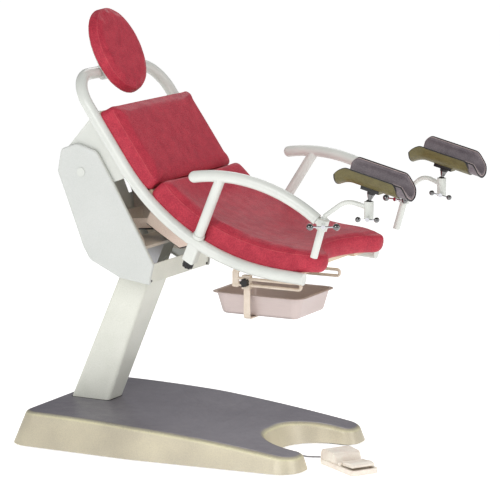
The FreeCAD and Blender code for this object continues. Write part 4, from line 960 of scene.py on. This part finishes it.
def make_upholstery():
    stitches = stitch_tree()
    half = pad_half
    back = rounded_outline([(back_pad_start, -half, 0.026), (back_pad_end, -half, 0.034),
                            (back_pad_end, half, 0.034), (back_pad_start, half, 0.026)])
    low = pad_seat - pad_sink
    high = back_pad_height - 0.004
    pad = make_pad("back_cushion", back, on_back, low, high, 0.011, thin_edge, 0.006, 0.009)
    sew(pad, "seat", back, on_back, 0.004, high, stitches)
    finish_piece(pad, "back_pad")

    tip = rail_length + seat_overhang
    side = [(seat_pad_start, -half, 0.026), (tip - 0.055, -half, 0.100), (tip + 0.016, -half + 0.062, 0.040)]
    notch = [(tip - notch_reach, 0.0, 0.270)]
    seat = rounded_outline(side + notch + [(u, -v, r) for u, v, r in reversed(side)])
    high = pad_seat + seat_pad_thickness
    pad = make_pad("seat_cushion", seat, on_rails, low, high, 0.019, nose_edge, 0.007, 0.009, seat_shape)
    clear_posts(pad)
    sew(pad, "seat", seat, on_rails, 0.006, high, stitches)
    finish_piece(pad, "seat_pad")

    oval = oval_outline(headrest_size[0] / 2 - 0.002, headrest_size[1] / 2 - 0.002)
    high = headrest_depth - 0.003
    pad = make_pad("headrest_cushion", oval, on_headrest, 0.0, high, 0.010, thin_edge, 0.005, 0.006)
    sew(pad, "headrest", oval, on_headrest, 0.004, high, stitches)
    finish_piece(pad, "headrest_pad")


# Knee crutches

def crutch_point(u, angle, radius, side):
    """Point on a trough: u along it from its stud, the angle from its lowest line towards +Y."""
    y = radius * math.sin(angle)
    z = crutch_stud + crutch_radius - radius * math.cos(angle)
    c = math.cos(crutch_slope)
    s = math.sin(crutch_slope)
    return Vector((crutch_head.x + u * c + z * s, -side * crutch_head.y + y, crutch_head.z - u * s + z * c))


def reached(outline, u, radius, full):
    """Angle that a trough's side reaches at u, where the outline of its side view cuts it."""
    top = 0.0
    for a, b in zip(outline, outline[1:] + outline[:1]):
        if (a.x - u) * (b.x - u) <= 0 and a.x != b.x:
            top = max(top, a.y + (b.y - a.y) * (u - a.x) / (b.x - a.x))
    return min(full, math.acos(max(-1.0, min(1.0, (crutch_radius - top) / radius))))


def eased(index, count):
    """Share from 0 to 1 with its steps closer together near both ends."""
    return (1 - math.cos(math.pi * index / count)) / 2


def trough_grid(rear, front, outline, near, far, radius_at, side, slant=0.0, lines=60, columns=40):
    """Rows of points over a trough; radius_at gives the radius at u, at a distance from the edge."""
    grid = []
    for i in range(lines + 1):
        u = rear + (front - rear) * eased(i, lines)
        rim = radius_at(u, 0.0)
        low = reached(outline, u, rim, near)
        high = reached(outline, u, rim, far)
        row = []
        for j in range(columns + 1):
            angle = -low + (low + high) * eased(j, columns)
            inside = max(0.0, min((angle + low) * rim, (high - angle) * rim, u - rear, front - u))
            shift = slant * (front - u) / (front - rear) * (1 - math.sin(angle)) / 2
            row.append(crutch_point(u + shift, angle, radius_at(u, inside), side))
        grid.append(row)
    return grid


def grid_rim(grid):
    """Points round the edge of a grid, in order."""
    return (grid[0] + [row[-1] for row in grid[1:]] + grid[-1][-2::-1] + [row[0] for row in grid[-2:0:-1]])


def loft(name, outer, inner, material):
    """Closed skin from an outer and an inner grid of the same size."""
    columns = len(outer[0])
    verts = [p for row in outer for p in row] + [p for row in inner for p in row]
    shift = len(outer) * columns
    faces = []
    for i in range(len(outer) - 1):
        for j in range(columns - 1):
            a = i * columns + j
            faces.append((a, a + 1, a + columns + 1, a + columns))
            faces.append((a + shift, a + shift + columns, a + shift + columns + 1, a + shift + 1))
    rim = grid_rim([[i * columns + j for j in range(columns)] for i in range(len(outer))])
    for a, b in zip(rim, rim[1:] + rim[:1]):
        faces.append((a, a + shift, b + shift, b))
    obj = mesh_object(name, verts, faces, material, smooth=True)
    face_outwards(obj.data)
    return obj


def edging(name, points, radius, material, body):
    line = tube(name, relaxed(points, 2), radius, material, closed=True)
    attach(line, body)


def make_crutch(name, side):
    body = "crutch_" + name
    near_top = crutch_radius * (1 - math.cos(crutch_near_side))
    far_top = crutch_radius * (1 - math.cos(crutch_far_side))
    rear, front = crutch_rear, crutch_front
    outline = rounded_outline([
        (rear - 0.004, -0.040, 0.001), (rear - 0.004, near_top - 0.002, 0.056),
        (rear + 0.064, near_top + 0.006, 0.020), (rear + 0.090, far_top + 0.008, 0.012),
        (front - 0.046, far_top + 0.008, 0.012), (front - 0.028, near_top + 0.006, 0.010),
        (front, near_top - 0.004, 0.030), (front, -0.040, 0.001)], 0.002)

    def shell_radius(u, inside):
        curl = max(0.0, rear + crutch_lip - u) / crutch_lip
        return crutch_radius - crutch_wall / 2 + crutch_lip_drop * curl ** 2

    grid = trough_grid(rear, front, outline, crutch_near_side, crutch_far_side, shell_radius, side)
    edging("crutch_shell_edging_" + name, grid_rim(grid), crutch_edging, black_satin, body)
    shell = dress("crutch_shell_" + name, olive_plastic)
    shell.data.materials.append(black_satin)
    lowest = crutch_point(0, 0, crutch_radius, side)
    for face in shell.data.polygons:
        away = face.center - lowest
        along = away.x * math.cos(crutch_slope) - away.z * math.sin(crutch_slope)
        up = away.x * math.sin(crutch_slope) + away.z * math.cos(crutch_slope)
        outside = math.hypot(away.y, up - crutch_radius) > crutch_radius + 0.0006
        if abs(along) < crutch_saddle_half and outside:
            face.material_index = 1

    rear, front = crutch_pad_rear, crutch_pad_front
    outline = rounded_outline([
        (rear - 0.001, -0.010, 0.001), (rear - 0.001, far_top + 0.006, 0.040),
        (front - 0.064, far_top + 0.010, 0.046),
        (front - 0.014, near_top - 0.016, 0.040), (front, 0.008, 0.024), (front, -0.010, 0.001)], 0.002)
    skin = crutch_radius - crutch_wall - 0.0006

    def face_radius(u, inside):
        share = 1 - min(1.0, inside / crutch_pad_edge)
        return skin - crutch_pad * (0.42 + 0.58 * math.sqrt(1 - share * share))

    near = crutch_near_side - math.radians(3)
    far = crutch_far_side + math.radians(4)
    outer, inner = (trough_grid(rear, front, outline, near, far, radius_at, side, crutch_pad_slant)
                    for radius_at in (lambda u, inside: skin, face_radius))
    pad = loft("crutch_pad_form_" + name, outer, inner, grey_foam)
    edging("crutch_pad_edging_" + name, grid_rim(outer), crutch_pad_edging, black_satin, body)
    # Pale piping inside the black edging paints the highlight on the pad's rounded rim.
    edging("crutch_pad_highlight_piping_" + name, grid_rim(inner), crutch_highlight_piping, painted_highlight_piping, body)
    finish_piece(pad, "crutch_pad_" + name)


# Metal and moulded parts

def paint_balls(handle, radius, turn, roll):
    """Black balls on the ends of a clamp handle's bar, which are its furthest points."""
    bar = Vector((math.cos(turn) * math.cos(roll), math.sin(turn) * math.cos(roll), -math.sin(roll)))
    spots = [v.co for v in handle.data.vertices]
    centers = [max(spots, key=way.dot) - way * radius for way in (bar, -bar)]
    handle.data.materials.append(black_gloss)
    for face in handle.data.polygons:
        if any((face.center - c).length < radius * 1.01 for c in centers):
            face.material_index = 1


def make_hardware():
    dress("base_cover", base_lacquer_painted_light())
    dress("pivot_caps", white_lacquer, 0.0005)
    dress("column_seal", black_rubber)
    dress("column_outer", column_cream, 0.0010)
    dress("hood_cover_right", cover_white)
    dress("hood_cover_left", cover_white)
    dress("hood_front_plate", column_cream, 0.0008)
    dress("hood_rear_cover", cover_white, 0.0008)
    dress("head_frame", inner_grey, 0.0006)
    dress("tilt_frame", white_lacquer, 0.0012)
    for part in ("rail_right", "rail_left", "head_hoop", "rail_end_caps", "seat_cross_tubes"):
        dress(part, white_lacquer)
    dress("arm_sockets", white_lacquer, 0.0012)
    dress("headrest_bracket", white_lacquer, 0.0010)
    drive = dress("drive_housing", drive_plastic, 0.0015)
    drive.data.materials.append(black_satin)
    for face in drive.data.polygons:
        if face.normal.z < -0.55:
            face.material_index = 1
    dress("seat_board", ply, 0.0008)
    dress("back_board", ply, 0.0008)
    dress("bowl", bowl_steel)
    dress("bowl_carrier", strap_cream, 0.0006)
    dress("bowl_slide_rails", strap_cream, 0.0004)
    dress("bowl_knob", black_satin, 0.0006)
    dress("foot_switch", switch_plastic, 0.0018)
    dress("foot_pedal", switch_plastic, 0.0012)
    dress("cable_gland", black_rubber, 0.0004)
    for name in sides:
        dress("armrest_" + name, white_lacquer)
        dress("arm_knob_" + name, black_satin, 0.0006)
        dress("leg_bush_" + name, guide_plastic, 0.0003)
        dress("leg_rod_" + name, white_lacquer)
        paint_balls(dress("leg_handle_" + name, chrome), leg_ball, *leg_handles[name])
        paint_balls(dress("crutch_handle_" + name, chrome), crutch_ball, *crutch_handles[name])
        dress("crutch_ball_" + name, black_gloss)
    plain = {
        "base_plate": dark_steel, "levelling_feet": black_rubber, "mains_inlet": black_satin,
        "column_guides": guide_plastic, "column_inner": bare_steel, "lift_ram": dark_steel,
        "lift_rod": chrome, "pivot_pins": bare_steel, "drive_rod": chrome, "cover_fasteners": black_satin,
    }
    for part, material in plain.items():
        obj = frame["nodes"][part]
        obj.data.materials.clear()
        obj.data.materials.append(material)


make_camera()
make_cable()
make_studio()
make_upholstery()
for name, side in sides.items():
    make_crutch(name, side)
make_hardware()
